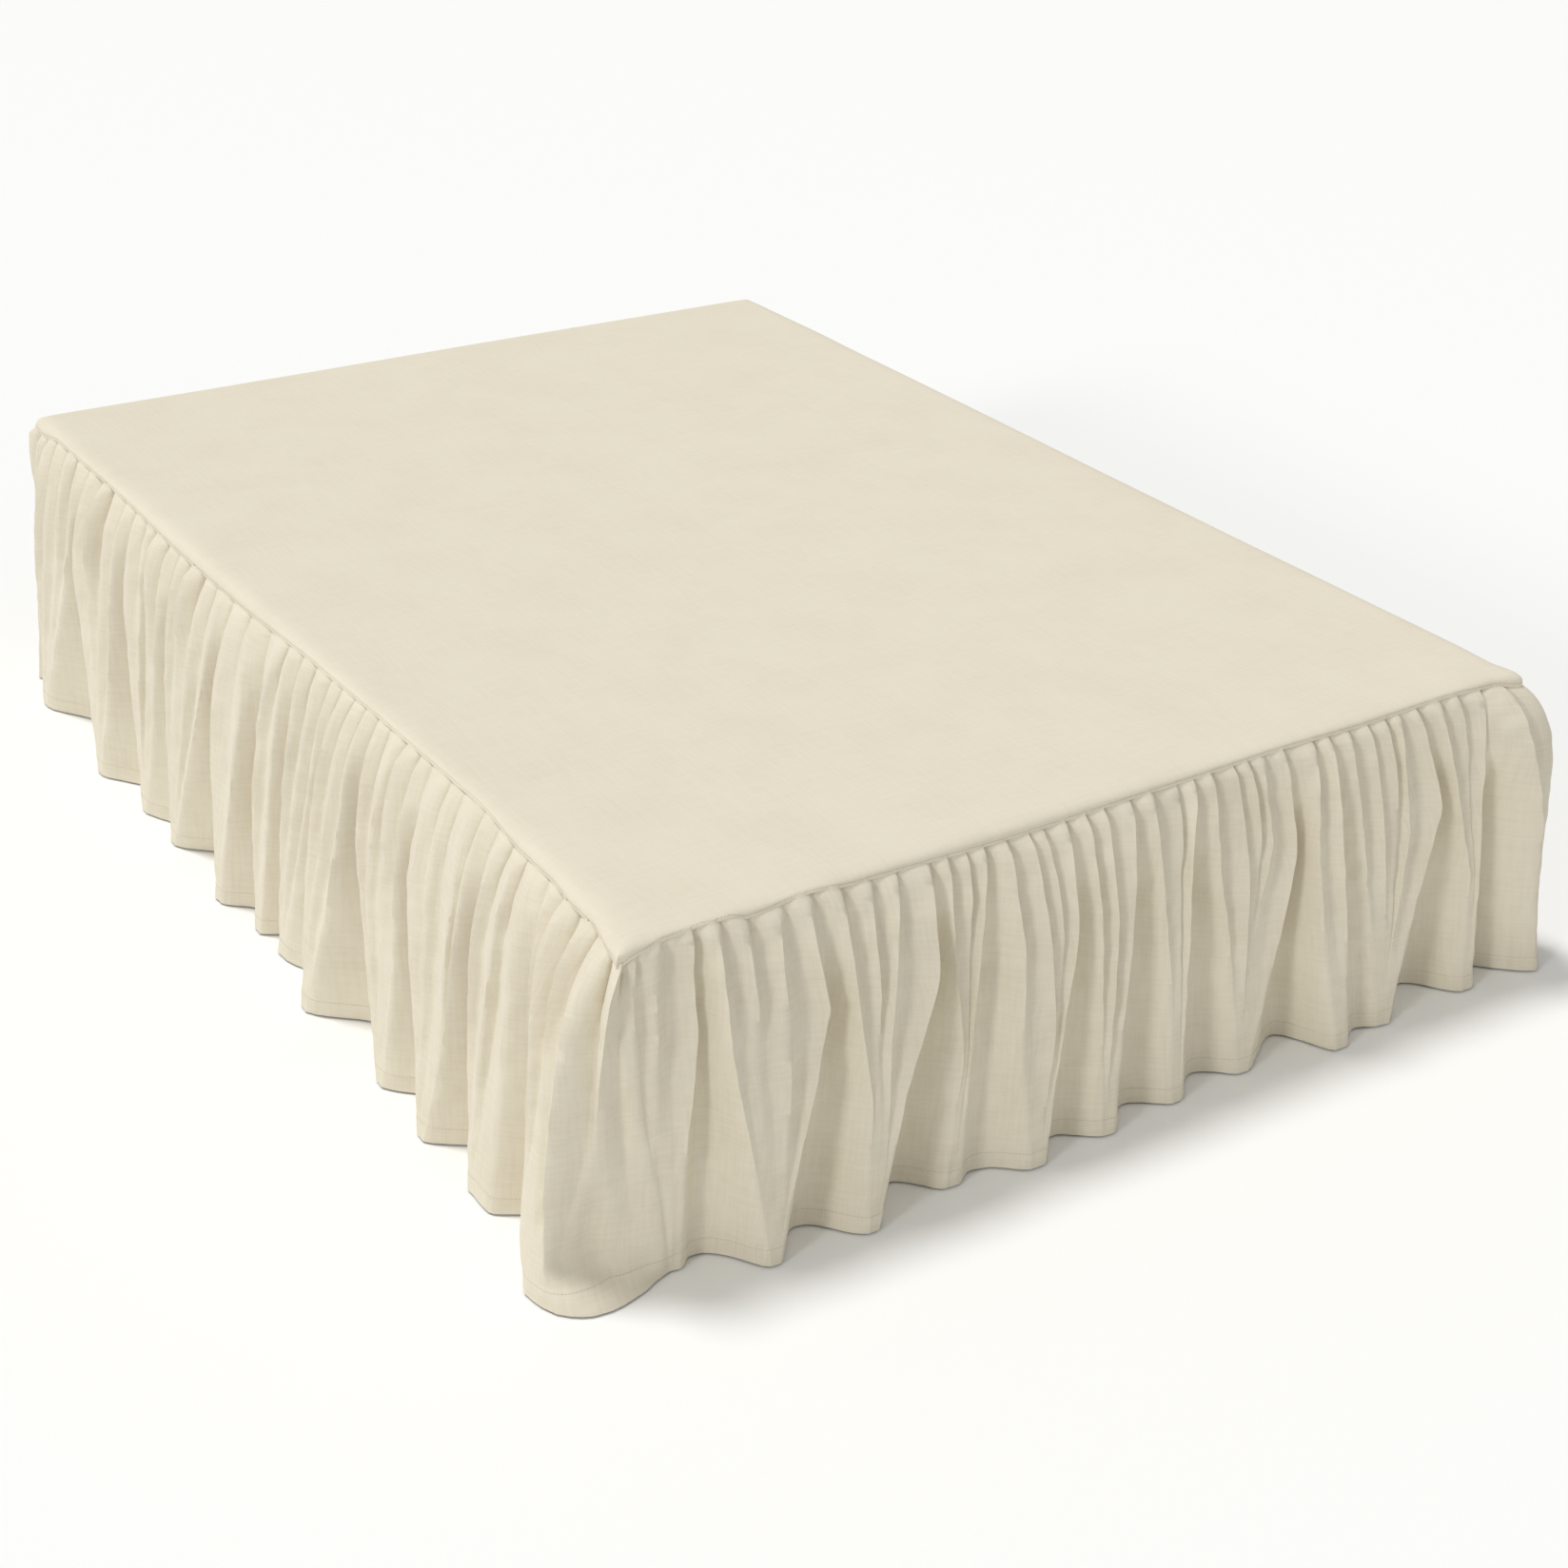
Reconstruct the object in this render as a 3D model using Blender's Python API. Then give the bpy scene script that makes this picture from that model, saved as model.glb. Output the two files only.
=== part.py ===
"""Gathered bed skirt on a plain legged bed base, in metres, +Z up.

The bed's foot faces -Y and its left side, seen from the foot, faces -X. A flat deck panel lies over
the base and turns down over its edges to a seam. A gathered drop hangs from that seam round the
left side, the foot and the right side, and turns a short way round both head corners. The origin
is on the floor, in the middle of the whole object's outline.

A "station" is a distance along the panel's square outline: 0 at the corner of the left side and the
foot, growing along the foot and up the right side, and falling below 0 up the left side.
"""
import math
import random
from collections import namedtuple

import bmesh
import bpy
from mathutils import Vector

# Driving dimensions: the bed, the cloth and the base under it
BED_WIDTH = 1.372
BED_LENGTH = 1.905
DECK_HEIGHT = 0.457
CLOTH = 0.002
GAP = 0.0003
SEAM_GAP = 0.0008
EDGE_CLEARANCE = 0.006
HEM_CLEARANCE = 0.003

# The deck panel's edge
PANEL_TURN = 0.032
PANEL_SQUARENESS = 3.2
PANEL_EDGE_STEPS = 4
FLAT_CORNER_RADIUS = 0.012
HEAD_DROP = 0.020
HEAD_OUT = 0.006
HEAD_PITCH = 0.16
SEAM_CORNER_RADIUS = 0.014

# The gathered drop
GATHER_HALF_PITCH = 0.0185
GATHER_HEIGHT = 0.0065
GATHER_HEIGHT_AT_SEAM = 0.0015
GATHER_FULL = 0.12
GATHER_SPAN = 0.55
PUFF_SPAN = 0.06
BALLOON_SPAN = 0.11
HEM_CORNER_RADIUS = 0.060
RETURN_LENGTH = 0.150
HEAD_SEAM_RUN = 0.030
KNOT_EVERY = 3
CORNER_SPAN = 0.10
ROW_HEIGHTS = (0.0, 0.045, 0.12, 0.24, 0.40, 0.58, 0.79, 1.0)

# The base
BASE_HEIGHT = 0.215
BASE_EDGE_RADIUS = 0.022
BASE_CORNER_RADIUS = 0.050
BASE_CORNER_STEPS = 5
BASE_EDGE_STEPS = 3
LEG_INSET = 0.090
LEG_TOP_RADIUS = 0.030
LEG_FOOT_RADIUS = 0.022
LEG_SIDES = 20

# Finish of the materials
CLOTH_ROUGHNESS = 0.9
WOOD_ROUGHNESS = 0.5

# The gathers: how far each strays from an even pitch, and the seed of those strays
STRAY = 0.16
SEED = 11

# How far apart two lengths may be and still count as one
TINY = 1e-9

# Angles past which a face's edge is a sharp one
DROP_SHARP = math.radians(70)
PANEL_SHARP = math.radians(50)
LEG_SHARP = math.radians(40)
BASE_SHARP = math.radians(60)

Seam = namedtuple("Seam", "station out drop")
Fold = namedtuple("Fold", "crest_seam crest_hem crest_out valley_seam valley_hem valley_out balloon")
Node = namedtuple("Node", "seam hem out balloon crest")
Gather = namedtuple("Gather", "seam hem out balloon side")

# Where the seam runs: station, how far it stands out from the outline, how far it lies below the deck
LEFT_SEAM = (
    Seam(-1.870, 0.008, 0.024),
    Seam(-1.800, 0.006, 0.014),
    Seam(-1.560, 0.006, 0.014),
    Seam(-1.290, 0.007, 0.022),
    Seam(-1.110, 0.007, 0.022),
    Seam(-0.820, 0.005, 0.013),
    Seam(-0.600, 0.004, 0.011),
    Seam(-0.380, 0.004, 0.010),
    Seam(-0.240, 0.011, 0.019),
    Seam(-0.180, 0.013, 0.018),
    Seam(-0.120, 0.019, 0.021),
    Seam(-0.030, 0.032, 0.033),
)
FOOT_SEAM = (
    Seam(0.000, 0.024, 0.036),
    Seam(0.020, 0.007, 0.017),
    Seam(0.070, 0.006, 0.009),
    Seam(0.110, 0.006, 0.009),
    Seam(0.136, 0.006, 0.016),
    Seam(0.215, 0.006, 0.009),
    Seam(0.285, 0.006, 0.015),
    Seam(0.500, 0.006, 0.019),
    Seam(0.790, 0.006, 0.015),
    Seam(0.935, 0.006, 0.012),
    Seam(1.080, 0.006, 0.014),
    Seam(1.246, 0.006, 0.011),
    Seam(1.330, 0.006, 0.015),
    Seam(1.372, 0.020, 0.022),
)

# The last rows of the left side's table belong to its foot corner and aren't repeated on the right.
# The right side has a row of its own before its head corner, counted from that corner.
CORNER_ROWS = 3
RIGHT_HEAD_SEAM = Seam(-0.020, 0.008, 0.022)

# Main folds of the drop. Each row is one crest and the valley after it: their stations at the seam
# and at the hem, how far each stands out at the hem, and the share of that reached just below the
# seam, which is largest where the cloth balloons round a corner.
RETURN_END_OUT = 0.020
RETURN_END_BALLOON = 0.35
LEFT_RETURN = (
    Fold(-2.030, -2.030, 0.045, -1.975, -1.985, 0.016, 0.30),
    Fold(-1.905, -1.888, 0.082, -1.850, -1.860, 0.030, 0.08),
)
LEFT_FOLDS = (
    Fold(-1.790, -1.790, 0.082, -1.665, -1.650, 0.015, 0.10),
    Fold(-1.540, -1.510, 0.088, -1.475, -1.415, 0.040, 0.35),
    Fold(-1.410, -1.358, 0.076, -1.300, -1.285, 0.050, 0.35),
    Fold(-1.190, -1.240, 0.078, -1.105, -1.150, 0.015, 0.35),
    Fold(-1.020, -1.047, 0.086, -0.980, -0.980, 0.042, 0.35),
    Fold(-0.940, -0.939, 0.071, -0.875, -0.905, 0.045, 0.35),
    Fold(-0.810, -0.863, 0.070, -0.755, -0.780, 0.050, 0.35),
    Fold(-0.700, -0.720, 0.100, -0.650, -0.600, 0.018, 0.35),
    Fold(-0.590, -0.504, 0.094, -0.500, -0.430, 0.045, 0.35),
    Fold(-0.430, -0.370, 0.101, -0.320, -0.295, 0.040, 0.35),
    Fold(-0.260, -0.235, 0.107, -0.190, -0.140, 0.045, 0.35),
)
# The right return's stations count from the head corner on the right.
RIGHT_RETURN = (
    Fold(0.000, -0.010, 0.085, 0.055, 0.050, 0.022, 0.45),
    Fold(0.100, 0.100, 0.048, 0.150, 0.150, 0.022, 0.35),
)
CORNER_FOLDS = (
    Fold(-0.120, -0.036, 0.146, 0.060, 0.045, 0.016, 0.50),
)
FOOT_FOLDS = (
    Fold(0.165, 0.141, 0.078, 0.228, 0.200, 0.029, 0.35),
    Fold(0.330, 0.276, 0.085, 0.395, 0.350, 0.016, 0.35),
    Fold(0.435, 0.414, 0.062, 0.475, 0.450, 0.047, 0.35),
    Fold(0.550, 0.533, 0.082, 0.600, 0.588, 0.043, 0.35),
    Fold(0.640, 0.650, 0.076, 0.700, 0.710, 0.033, 0.35),
    Fold(0.760, 0.775, 0.066, 0.805, 0.835, 0.022, 0.35),
    Fold(0.880, 0.895, 0.058, 0.955, 0.990, 0.012, 0.35),
    Fold(0.990, 1.055, 0.084, 1.035, 1.105, 0.060, 0.35),
    Fold(1.120, 1.150, 0.071, 1.195, 1.240, 0.008, 0.35),
    Fold(1.255, 1.310, 0.068, 1.315, 1.345, 0.026, 0.40),
    Fold(1.372, 1.378, 0.140, 1.435, 1.445, 0.075, 0.50),
)


def blend(share):
    """Smooth step from 0 to 1."""
    share = min(max(share, 0.0), 1.0)
    return share * share * (3 - 2 * share)


def mix(start, end, share):
    return start + (end - start) * share


def outline(station, radius):
    """Place on the square outline with its corners rounded, and the way out from it."""
    half_width, half_length = BED_WIDTH / 2, BED_LENGTH / 2
    sides = (
        (-BED_LENGTH - BED_WIDTH, BED_WIDTH, (half_width, half_length), (-1, 0)),
        (-BED_LENGTH, BED_LENGTH, (-half_width, half_length), (0, -1)),
        (0.0, BED_WIDTH, (-half_width, -half_length), (1, 0)),
        (BED_WIDTH, BED_LENGTH, (half_width, -half_length), (0, 1)),
        (BED_WIDTH + BED_LENGTH, BED_WIDTH, (half_width, half_length), (-1, 0)),
    )
    for first, length, corner, along in sides:
        if station <= first + length + TINY:
            break
    along = Vector((along[0], along[1], 0))
    out = Vector((along.y, -along.x, 0))
    start = Vector((corner[0], corner[1], 0))
    here = station - first
    if here < radius:
        turn = -(radius - here) / radius * math.pi / 4
        centre = start + (along - out) * radius
    elif here > length - radius:
        turn = (here - length + radius) / radius * math.pi / 4
        centre = start + along * (length - radius) - out * radius
    else:
        return start + along * here, out
    way = out * math.cos(turn) + along * math.sin(turn)
    return centre + way * radius, way


def seam_rows():
    """The seam's table round the whole bed: the right side repeats the left one."""
    behind = BED_LENGTH + BED_WIDTH
    before = (
        Seam(-behind, HEAD_OUT, HEAD_DROP),
        Seam(-BED_LENGTH - HEAD_SEAM_RUN, HEAD_OUT, HEAD_DROP),
    )
    right = [row._replace(station=row.station + behind) for row in LEFT_SEAM[:-CORNER_ROWS]]
    after = (
        RIGHT_HEAD_SEAM._replace(station=behind + RIGHT_HEAD_SEAM.station),
        Seam(behind + HEAD_SEAM_RUN, HEAD_OUT, HEAD_DROP),
        Seam(behind + BED_WIDTH, HEAD_OUT, HEAD_DROP),
    )
    return (*before, *LEFT_SEAM, *FOOT_SEAM, *right, *after)


def seam_place(station):
    """How far the seam stands out, and how far it drops, at a station."""
    rows = seam_rows()
    for first, last in zip(rows, rows[1:]):
        if station <= last.station:
            break
    share = blend((station - first.station) / (last.station - first.station))
    return mix(first.out, last.out, share), mix(first.drop, last.drop, share)


def moved_along(fold):
    """The same fold on the right side, or counted from the head corner there."""
    behind = BED_LENGTH + BED_WIDTH
    return fold._replace(
        crest_seam=fold.crest_seam + behind,
        crest_hem=fold.crest_hem + behind,
        valley_seam=fold.valley_seam + behind,
        valley_hem=fold.valley_hem + behind,
    )


def main_nodes():
    """Crests and valleys in order round the bed."""
    right = [moved_along(fold) for fold in LEFT_FOLDS + RIGHT_RETURN]
    end = -BED_LENGTH - RETURN_LENGTH
    nodes = [Node(end, end, RETURN_END_OUT, RETURN_END_BALLOON, False)]
    for fold in (*LEFT_RETURN, *LEFT_FOLDS, *CORNER_FOLDS, *FOOT_FOLDS, *right):
        nodes.append(Node(fold.crest_seam, fold.crest_hem, fold.crest_out, fold.balloon, True))
        nodes.append(Node(fold.valley_seam, fold.valley_hem, fold.valley_out, fold.balloon, False))
    return nodes


def gathers():
    """Every small gather's crest, with side 1, and valley, with side -1.

    The stretch from a main crest to a main valley holds an odd number of half gathers, so that the
    small ones alternate from one to the other.
    """
    random.seed(SEED)
    nodes = main_nodes()
    columns = []
    for first, last in zip(nodes, nodes[1:]):
        halves = max(1, 2 * round((last.seam - first.seam) / GATHER_HALF_PITCH / 2 - 0.5) + 1)
        for step in range(halves):
            stray = random.uniform(-STRAY, STRAY) if step else 0.0
            share = (step + stray) / halves
            rising = first.crest if step % 2 == 0 else not first.crest
            columns.append(Gather(
                seam=mix(first.seam, last.seam, share),
                hem=mix(first.hem, last.hem, share),
                out=mix(first.out, last.out, blend(share)),
                balloon=mix(first.balloon, last.balloon, share),
                side=1 if rising else -1,
            ))
    end = nodes[-1]
    columns.append(Gather(end.seam, end.hem, end.out, end.balloon, 1 if end.crest else -1))
    return columns


def knots(columns):
    """Stations where the seam bends, which panel and drop share.

    Every few gathers is enough along a side. Every gather counts beside a foot corner, where the
    seam dips.
    """
    chosen = []
    for number, column in enumerate(columns):
        beside = min(abs(column.seam), abs(column.seam - BED_WIDTH)) < CORNER_SPAN
        if beside or number % KNOT_EVERY == 0 or number == len(columns) - 1:
            chosen.append(column.seam)
    return chosen


def seam_knot(station):
    """Point on the seam at one of its knots, and the way out there."""
    place, way = outline(station, SEAM_CORNER_RADIUS)
    out, drop = seam_place(station)
    return place + way * out + Vector((0, 0, DECK_HEIGHT - drop)), way


def seam_point(station, chosen):
    """Point on the seam, straight between its knots, and the way out there."""
    for first, last in zip(chosen, chosen[1:]):
        if station <= last + TINY:
            break
    share = (station - first) / (last - first)
    start, start_way = seam_knot(first)
    end, end_way = seam_knot(last)
    return start.lerp(end, share), start_way.lerp(end_way, share)


def drop_point(column, height, chosen):
    """Point of the drop at a gather; height runs from 0 at the seam to 1 at the hem."""
    top, turned = seam_point(column.seam, chosen)
    if height == 0.0:
        return top + turned * GATHER_HEIGHT_AT_SEAM * (column.side + 1) - Vector((0, 0, SEAM_GAP))
    start, _ = outline(column.seam, SEAM_CORNER_RADIUS)
    start_out = (Vector((top.x, top.y, 0)) - start).dot(turned)
    sway = blend(height)
    station = mix(column.seam, column.hem, sway)
    place, way = outline(station, mix(SEAM_CORNER_RADIUS, HEM_CORNER_RADIUS, sway))
    puff = min(height / PUFF_SPAN, 1.0)
    fade = 1 - blend((height - GATHER_FULL) / GATHER_SPAN)
    gather = mix(GATHER_HEIGHT_AT_SEAM, GATHER_HEIGHT, puff) * fade
    puffed = 1 - math.exp(-height / BALLOON_SPAN)
    rise = column.balloon * puffed + (1 - column.balloon) * height
    out = mix(start_out, column.out, rise) + gather * (column.side + 1)
    return place + way * out + Vector((0, 0, mix(top.z, HEM_CLEARANCE, height)))


def material(name, colour, roughness):
    slot = bpy.data.materials.new(name)
    slot.use_nodes = True
    shader = slot.node_tree.nodes["Principled BSDF"]
    shader.inputs["Base Color"].default_value = (*colour, 1)
    shader.inputs["Roughness"].default_value = roughness
    shader.inputs["Metallic"].default_value = 0.0
    return slot


def add_object(name, shape, slot, parent):
    """Make an object of a bmesh, with its faces shaded smooth."""
    mesh = bpy.data.meshes.new(name)
    shape.to_mesh(mesh)
    shape.free()
    mesh.shade_smooth()
    mesh.materials.append(slot)
    piece = bpy.data.objects.new(name, mesh)
    piece.parent = parent
    bpy.context.collection.objects.link(piece)
    return piece


def inner_face(grid, ring):
    """The back of a sheet: each point of its face moved in by the cloth's thickness.

    The last row moves in level, so that the edge there keeps its height. ring says that the last
    column is followed by the first.
    """
    back = []
    for here, column in enumerate(grid):
        before = grid[here - 1] if ring or here else column
        after = grid[(here + 1) % len(grid)] if ring or here < len(grid) - 1 else column
        points = []
        for row, point in enumerate(column):
            down = column[min(row + 1, len(column) - 1)] - column[max(row - 1, 0)]
            way = down.cross(after[row] - before[row])
            if row == len(column) - 1:
                way.z = 0.0
            points.append(point - way.normalized() * CLOTH)
        back.append(points)
    return back


def add_faces(shape, grid, ring, flip, rising=False):
    """Two triangles between each four neighbours in a grid of vertices.

    Both sides of a sheet are cut along the same diagonals, rising or falling, so that they stay a
    cloth's thickness apart all over.
    """
    last = len(grid) if ring else len(grid) - 1
    for here in range(last):
        near, far = grid[here], grid[(here + 1) % len(grid)]
        for row in range(len(near) - 1):
            if rising:
                halves = (near[row], near[row + 1], far[row]), (near[row + 1], far[row + 1], far[row])
            else:
                halves = (near[row], near[row + 1], far[row + 1]), (near[row], far[row + 1], far[row])
            for corners in halves:
                shape.faces.new(corners[::-1] if flip else corners)


def build_drop(name, columns, chosen, slot, parent):
    """One length of the gathered drop as a thin sheet on a grid of gathers by heights."""
    face = [[drop_point(column, height, chosen) for height in ROW_HEIGHTS] for column in columns]
    shape = bmesh.new()
    front = [[shape.verts.new(point) for point in column] for column in face]
    under = inner_face(face, False)
    for column, points, inner in zip(columns, face, under):
        inner[0] = points[0] - seam_point(column.seam, chosen)[1] * CLOTH
    back = [[shape.verts.new(point) for point in column] for column in under]
    add_faces(shape, front, False, False)
    add_faces(shape, back, False, True)
    rim = [[front_column[0], back_column[0]] for front_column, back_column in zip(front, back)]
    hem = [[front_column[-1], back_column[-1]] for front_column, back_column in zip(front, back)]
    add_faces(shape, rim, False, True)
    add_faces(shape, hem, False, False)
    add_faces(shape, [front[0], back[0]], False, True)
    add_faces(shape, [front[-1], back[-1]], False, False)
    piece = add_object(name, shape, slot, parent)
    piece.data.set_sharp_from_angle(angle=DROP_SHARP)
    return piece


def drop_lengths(columns):
    """Part the drop in the valley beside each foot corner, where its lengths are sewn together."""
    stations = [column.seam for column in columns]
    first = stations.index(LEFT_FOLDS[-1].valley_seam)
    last = stations.index(FOOT_FOLDS[-1].valley_seam)
    lengths = {
        "skirt_left": columns[:first + 1],
        "skirt_foot": columns[first:last + 1],
        "skirt_right": columns[last:],
    }
    for length in lengths.values():
        for end, step in ((0, GAP / 2), (-1, -GAP / 2)):
            column = length[end]
            length[end] = column._replace(seam=column.seam + step, hem=column.hem + step)
    return lengths


def panel_stations(chosen):
    """Where the panel's edge has a column: the seam's knots, then evenly along the head."""
    head_right = chosen[-1]
    span = 2 * (BED_LENGTH + BED_WIDTH) + chosen[0] - head_right
    count = round(span / HEAD_PITCH)
    return chosen + [head_right + span * step / count for step in range(1, count)]


def build_panel(chosen, slot, parent):
    """The deck panel: a flat middle that turns down over the base's edges to the seam."""
    face = []
    ways = []
    for station in panel_stations(chosen):
        rim, way = seam_knot(station)
        ways.append(way)
        place, inward = outline(station, PANEL_TURN + FLAT_CORNER_RADIUS)
        flat = place - inward * PANEL_TURN
        column = []
        for step in range(PANEL_EDGE_STEPS + 1):
            angle = math.pi / 2 * step / PANEL_EDGE_STEPS
            across = math.sin(angle) ** (2 / PANEL_SQUARENESS)
            down = 1 - math.cos(angle) ** (2 / PANEL_SQUARENESS)
            point = flat.lerp(Vector((rim.x, rim.y, 0)), across)
            point.z = mix(DECK_HEIGHT, rim.z, down)
            column.append(point)
        face.append(column)
    under = inner_face(face, True)
    for points, inner, way in zip(face, under, ways):
        inner[0] = points[0] - Vector((0, 0, CLOTH))
        inner[-1] = points[-1] - way * CLOTH
    shape = bmesh.new()
    front = [[shape.verts.new(point) for point in column] for column in face]
    back = [[shape.verts.new(point) for point in column] for column in under]
    add_faces(shape, front, True, False, rising=True)
    add_faces(shape, back, True, True, rising=True)
    hem = [[front_column[-1], back_column[-1]] for front_column, back_column in zip(front, back)]
    add_faces(shape, hem, True, False)
    middles = [shape.faces.new([column[0] for column in front])]
    middles.append(shape.faces.new([column[0] for column in back][::-1]))
    bmesh.ops.poke(shape, faces=middles)
    piece = add_object("platform_panel", shape, slot, parent)
    piece.data.set_sharp_from_angle(angle=PANEL_SHARP)
    return piece


def build_base(slot, parent):
    """A plain box foundation with rounded corners and edges, just under the deck panel."""
    inset = EDGE_CLEARANCE + CLOTH
    turn = BASE_CORNER_RADIUS + inset
    shape = bmesh.new()
    floor = []
    for corner in (-BED_LENGTH, 0.0, BED_WIDTH, BED_WIDTH + BED_LENGTH):
        for step in range(BASE_CORNER_STEPS + 1):
            share = 2 * step / BASE_CORNER_STEPS - 1
            place, way = outline(corner + share * turn, turn)
            floor.append(shape.verts.new(place - way * inset))
    side = shape.faces.new(floor)
    raised = bmesh.ops.extrude_face_region(shape, geom=[side])["geom"]
    points = [item for item in raised if isinstance(item, bmesh.types.BMVert)]
    bmesh.ops.translate(shape, verts=points, vec=(0, 0, BASE_HEIGHT))
    bmesh.ops.recalc_face_normals(shape, faces=shape.faces[:])
    piece = add_object("base_box", shape, slot, parent)
    piece.location.z = DECK_HEIGHT - CLOTH - GAP - BASE_HEIGHT
    bevel = piece.modifiers.new("rounded edges", "BEVEL")
    bevel.limit_method = "ANGLE"
    bevel.angle_limit = BASE_SHARP
    bevel.width = BASE_EDGE_RADIUS
    bevel.segments = BASE_EDGE_STEPS
    return piece


def build_legs(slot, parent):
    """Six turned legs that stand on the floor and carry the base."""
    top = DECK_HEIGHT - CLOTH - 2 * GAP - BASE_HEIGHT
    reach_x = BED_WIDTH / 2 - LEG_INSET
    reach_y = BED_LENGTH / 2 - LEG_INSET
    number = 0
    for across in (-1, 1):
        for along in (-1, 0, 1):
            number += 1
            shape = bmesh.new()
            bmesh.ops.create_cone(
                shape, cap_ends=True, segments=LEG_SIDES, radius1=LEG_FOOT_RADIUS,
                radius2=LEG_TOP_RADIUS, depth=top,
            )
            piece = add_object(f"leg_{number}", shape, slot, parent)
            piece.data.set_sharp_from_angle(angle=LEG_SHARP)
            piece.location = (across * reach_x, along * reach_y, top / 2)


def centre_on_origin(frame):
    """Bring the middle of the whole outline over the origin."""
    bpy.context.view_layer.update()
    depsgraph = bpy.context.evaluated_depsgraph_get()
    points = []
    for piece in frame.children:
        solid = piece.evaluated_get(depsgraph)
        points += [piece.matrix_world @ vertex.co for vertex in solid.to_mesh().vertices]
        solid.to_mesh_clear()
    for axis in (0, 1):
        values = [point[axis] for point in points]
        frame.location[axis] = -(min(values) + max(values)) / 2
    bpy.context.view_layer.update()


def main():
    for old in list(bpy.data.objects):
        bpy.data.objects.remove(old, do_unlink=True)
    frame = bpy.data.objects.new("bed", None)
    bpy.context.collection.objects.link(frame)

    panel_cloth = material("panel_cloth", (0.76, 0.71, 0.58), CLOTH_ROUGHNESS)
    drop_cloth = material("drop_cloth", (0.72, 0.66, 0.53), CLOTH_ROUGHNESS)
    base_cloth = material("base_cloth", (0.80, 0.78, 0.72), CLOTH_ROUGHNESS)
    leg_wood = material("leg_wood", (0.45, 0.29, 0.16), WOOD_ROUGHNESS)

    columns = gathers()
    chosen = knots(columns)
    build_panel(chosen, panel_cloth, frame)

    for name, length in drop_lengths(columns).items():
        build_drop(name, length, chosen, drop_cloth, frame)

    build_base(base_cloth, frame)
    build_legs(leg_wood, frame)
    centre_on_origin(frame)


main()
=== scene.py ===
"""Dresses a gathered bed skirt on its plain legged bed base.

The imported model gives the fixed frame, in metres, +Z up. The bed's foot faces -Y and its left
side, seen from the foot, faces -X. A flat deck panel covers the base and turns down over its edges
to a seam, from which a gathered drop hangs to the floor round the left side, the foot and the
right side. Each length of cloth is one thin sheet on the folds of its solid, with the gathers,
the hollows between the folds, the creases, the hem and the stitching worked out at full detail.

A "station" is a distance along the deck's square outline: 0 at the corner of the left side and
the foot, growing along the foot and up the right side, and falling below 0 up the left side. A
"share" of the drop's height runs from 0 at the seam to 1 at the hem.
"""
import logging
import math
import random
from dataclasses import dataclass
from enum import Enum
from typing import Any, NamedTuple, Sequence

import bpy
import numpy as np
from mathutils import Matrix, Vector


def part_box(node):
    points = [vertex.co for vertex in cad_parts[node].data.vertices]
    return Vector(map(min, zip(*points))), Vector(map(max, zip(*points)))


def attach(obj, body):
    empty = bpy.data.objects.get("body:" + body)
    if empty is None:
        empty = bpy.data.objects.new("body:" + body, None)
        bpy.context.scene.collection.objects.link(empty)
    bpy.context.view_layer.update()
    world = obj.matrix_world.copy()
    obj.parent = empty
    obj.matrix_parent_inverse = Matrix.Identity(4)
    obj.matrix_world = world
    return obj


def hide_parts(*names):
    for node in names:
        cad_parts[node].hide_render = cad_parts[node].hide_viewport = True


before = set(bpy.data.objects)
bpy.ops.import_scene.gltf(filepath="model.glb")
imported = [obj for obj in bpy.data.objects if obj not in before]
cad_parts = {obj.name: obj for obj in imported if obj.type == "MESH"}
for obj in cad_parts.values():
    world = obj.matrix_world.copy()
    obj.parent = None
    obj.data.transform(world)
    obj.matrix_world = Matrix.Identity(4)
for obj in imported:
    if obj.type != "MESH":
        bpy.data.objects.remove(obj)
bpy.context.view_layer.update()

LOG = logging.getLogger("bed_skirt")
MM = 0.001
BODY = "root"
# Weights that smooth a gather's line over nine rows, and how many stations smooth the hem's reach.
LINE_WEIGHTS = np.array([1, 2, 3, 4, 4, 4, 3, 2, 1]) / 24
REACH_WINDOW = 9


class Held(Enum):
    """How a sheet of cloth is kept in its place."""

    GATHERED = "gathered"
    LAID = "laid"


class Steep(Enum):
    """The border of a hollow from which the cloth falls steeply."""

    NEAR = "near"
    FAR = "far"


# ---------------------------------------------------------------- tables of the cloth's lie

class SeamPoint(NamedTuple):
    """Where the seam runs: its station, how far it stands out, how far it lies below the deck."""

    station: float
    out: float
    drop: float


class Fold(NamedTuple):
    """A main crest of the drop and the hollow after it.

    Stations are given at the seam and at the hem, reaches at the hem. balloon is the share of the
    reach that stands out just below the seam. near and far, where they are given, are the
    hollow's two borders: their stations at 30 and 60 percent of the way down and at the hem.
    rim gives reaches at more hem stations. pleats are small gathers between the crest and the
    hollow, each a valley's and a crest's station at the seam.
    """

    crest_seam: float
    crest_hem: float
    crest_out: float
    valley_seam: float
    valley_hem: float
    valley_out: float
    balloon: float
    near: tuple[float, ...] = ()
    far: tuple[float, ...] = ()
    rim: tuple[tuple[float, float], ...] = ()
    pleats: tuple[tuple[float, float], ...] = ()


class Crease(NamedTuple):
    """A ridge pressed into the drop: its stations at the seam, at a kink and at its lower end."""

    seam: float
    kink: float
    kink_share: float
    end: float
    end_share: float
    rise_mm: float


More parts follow.
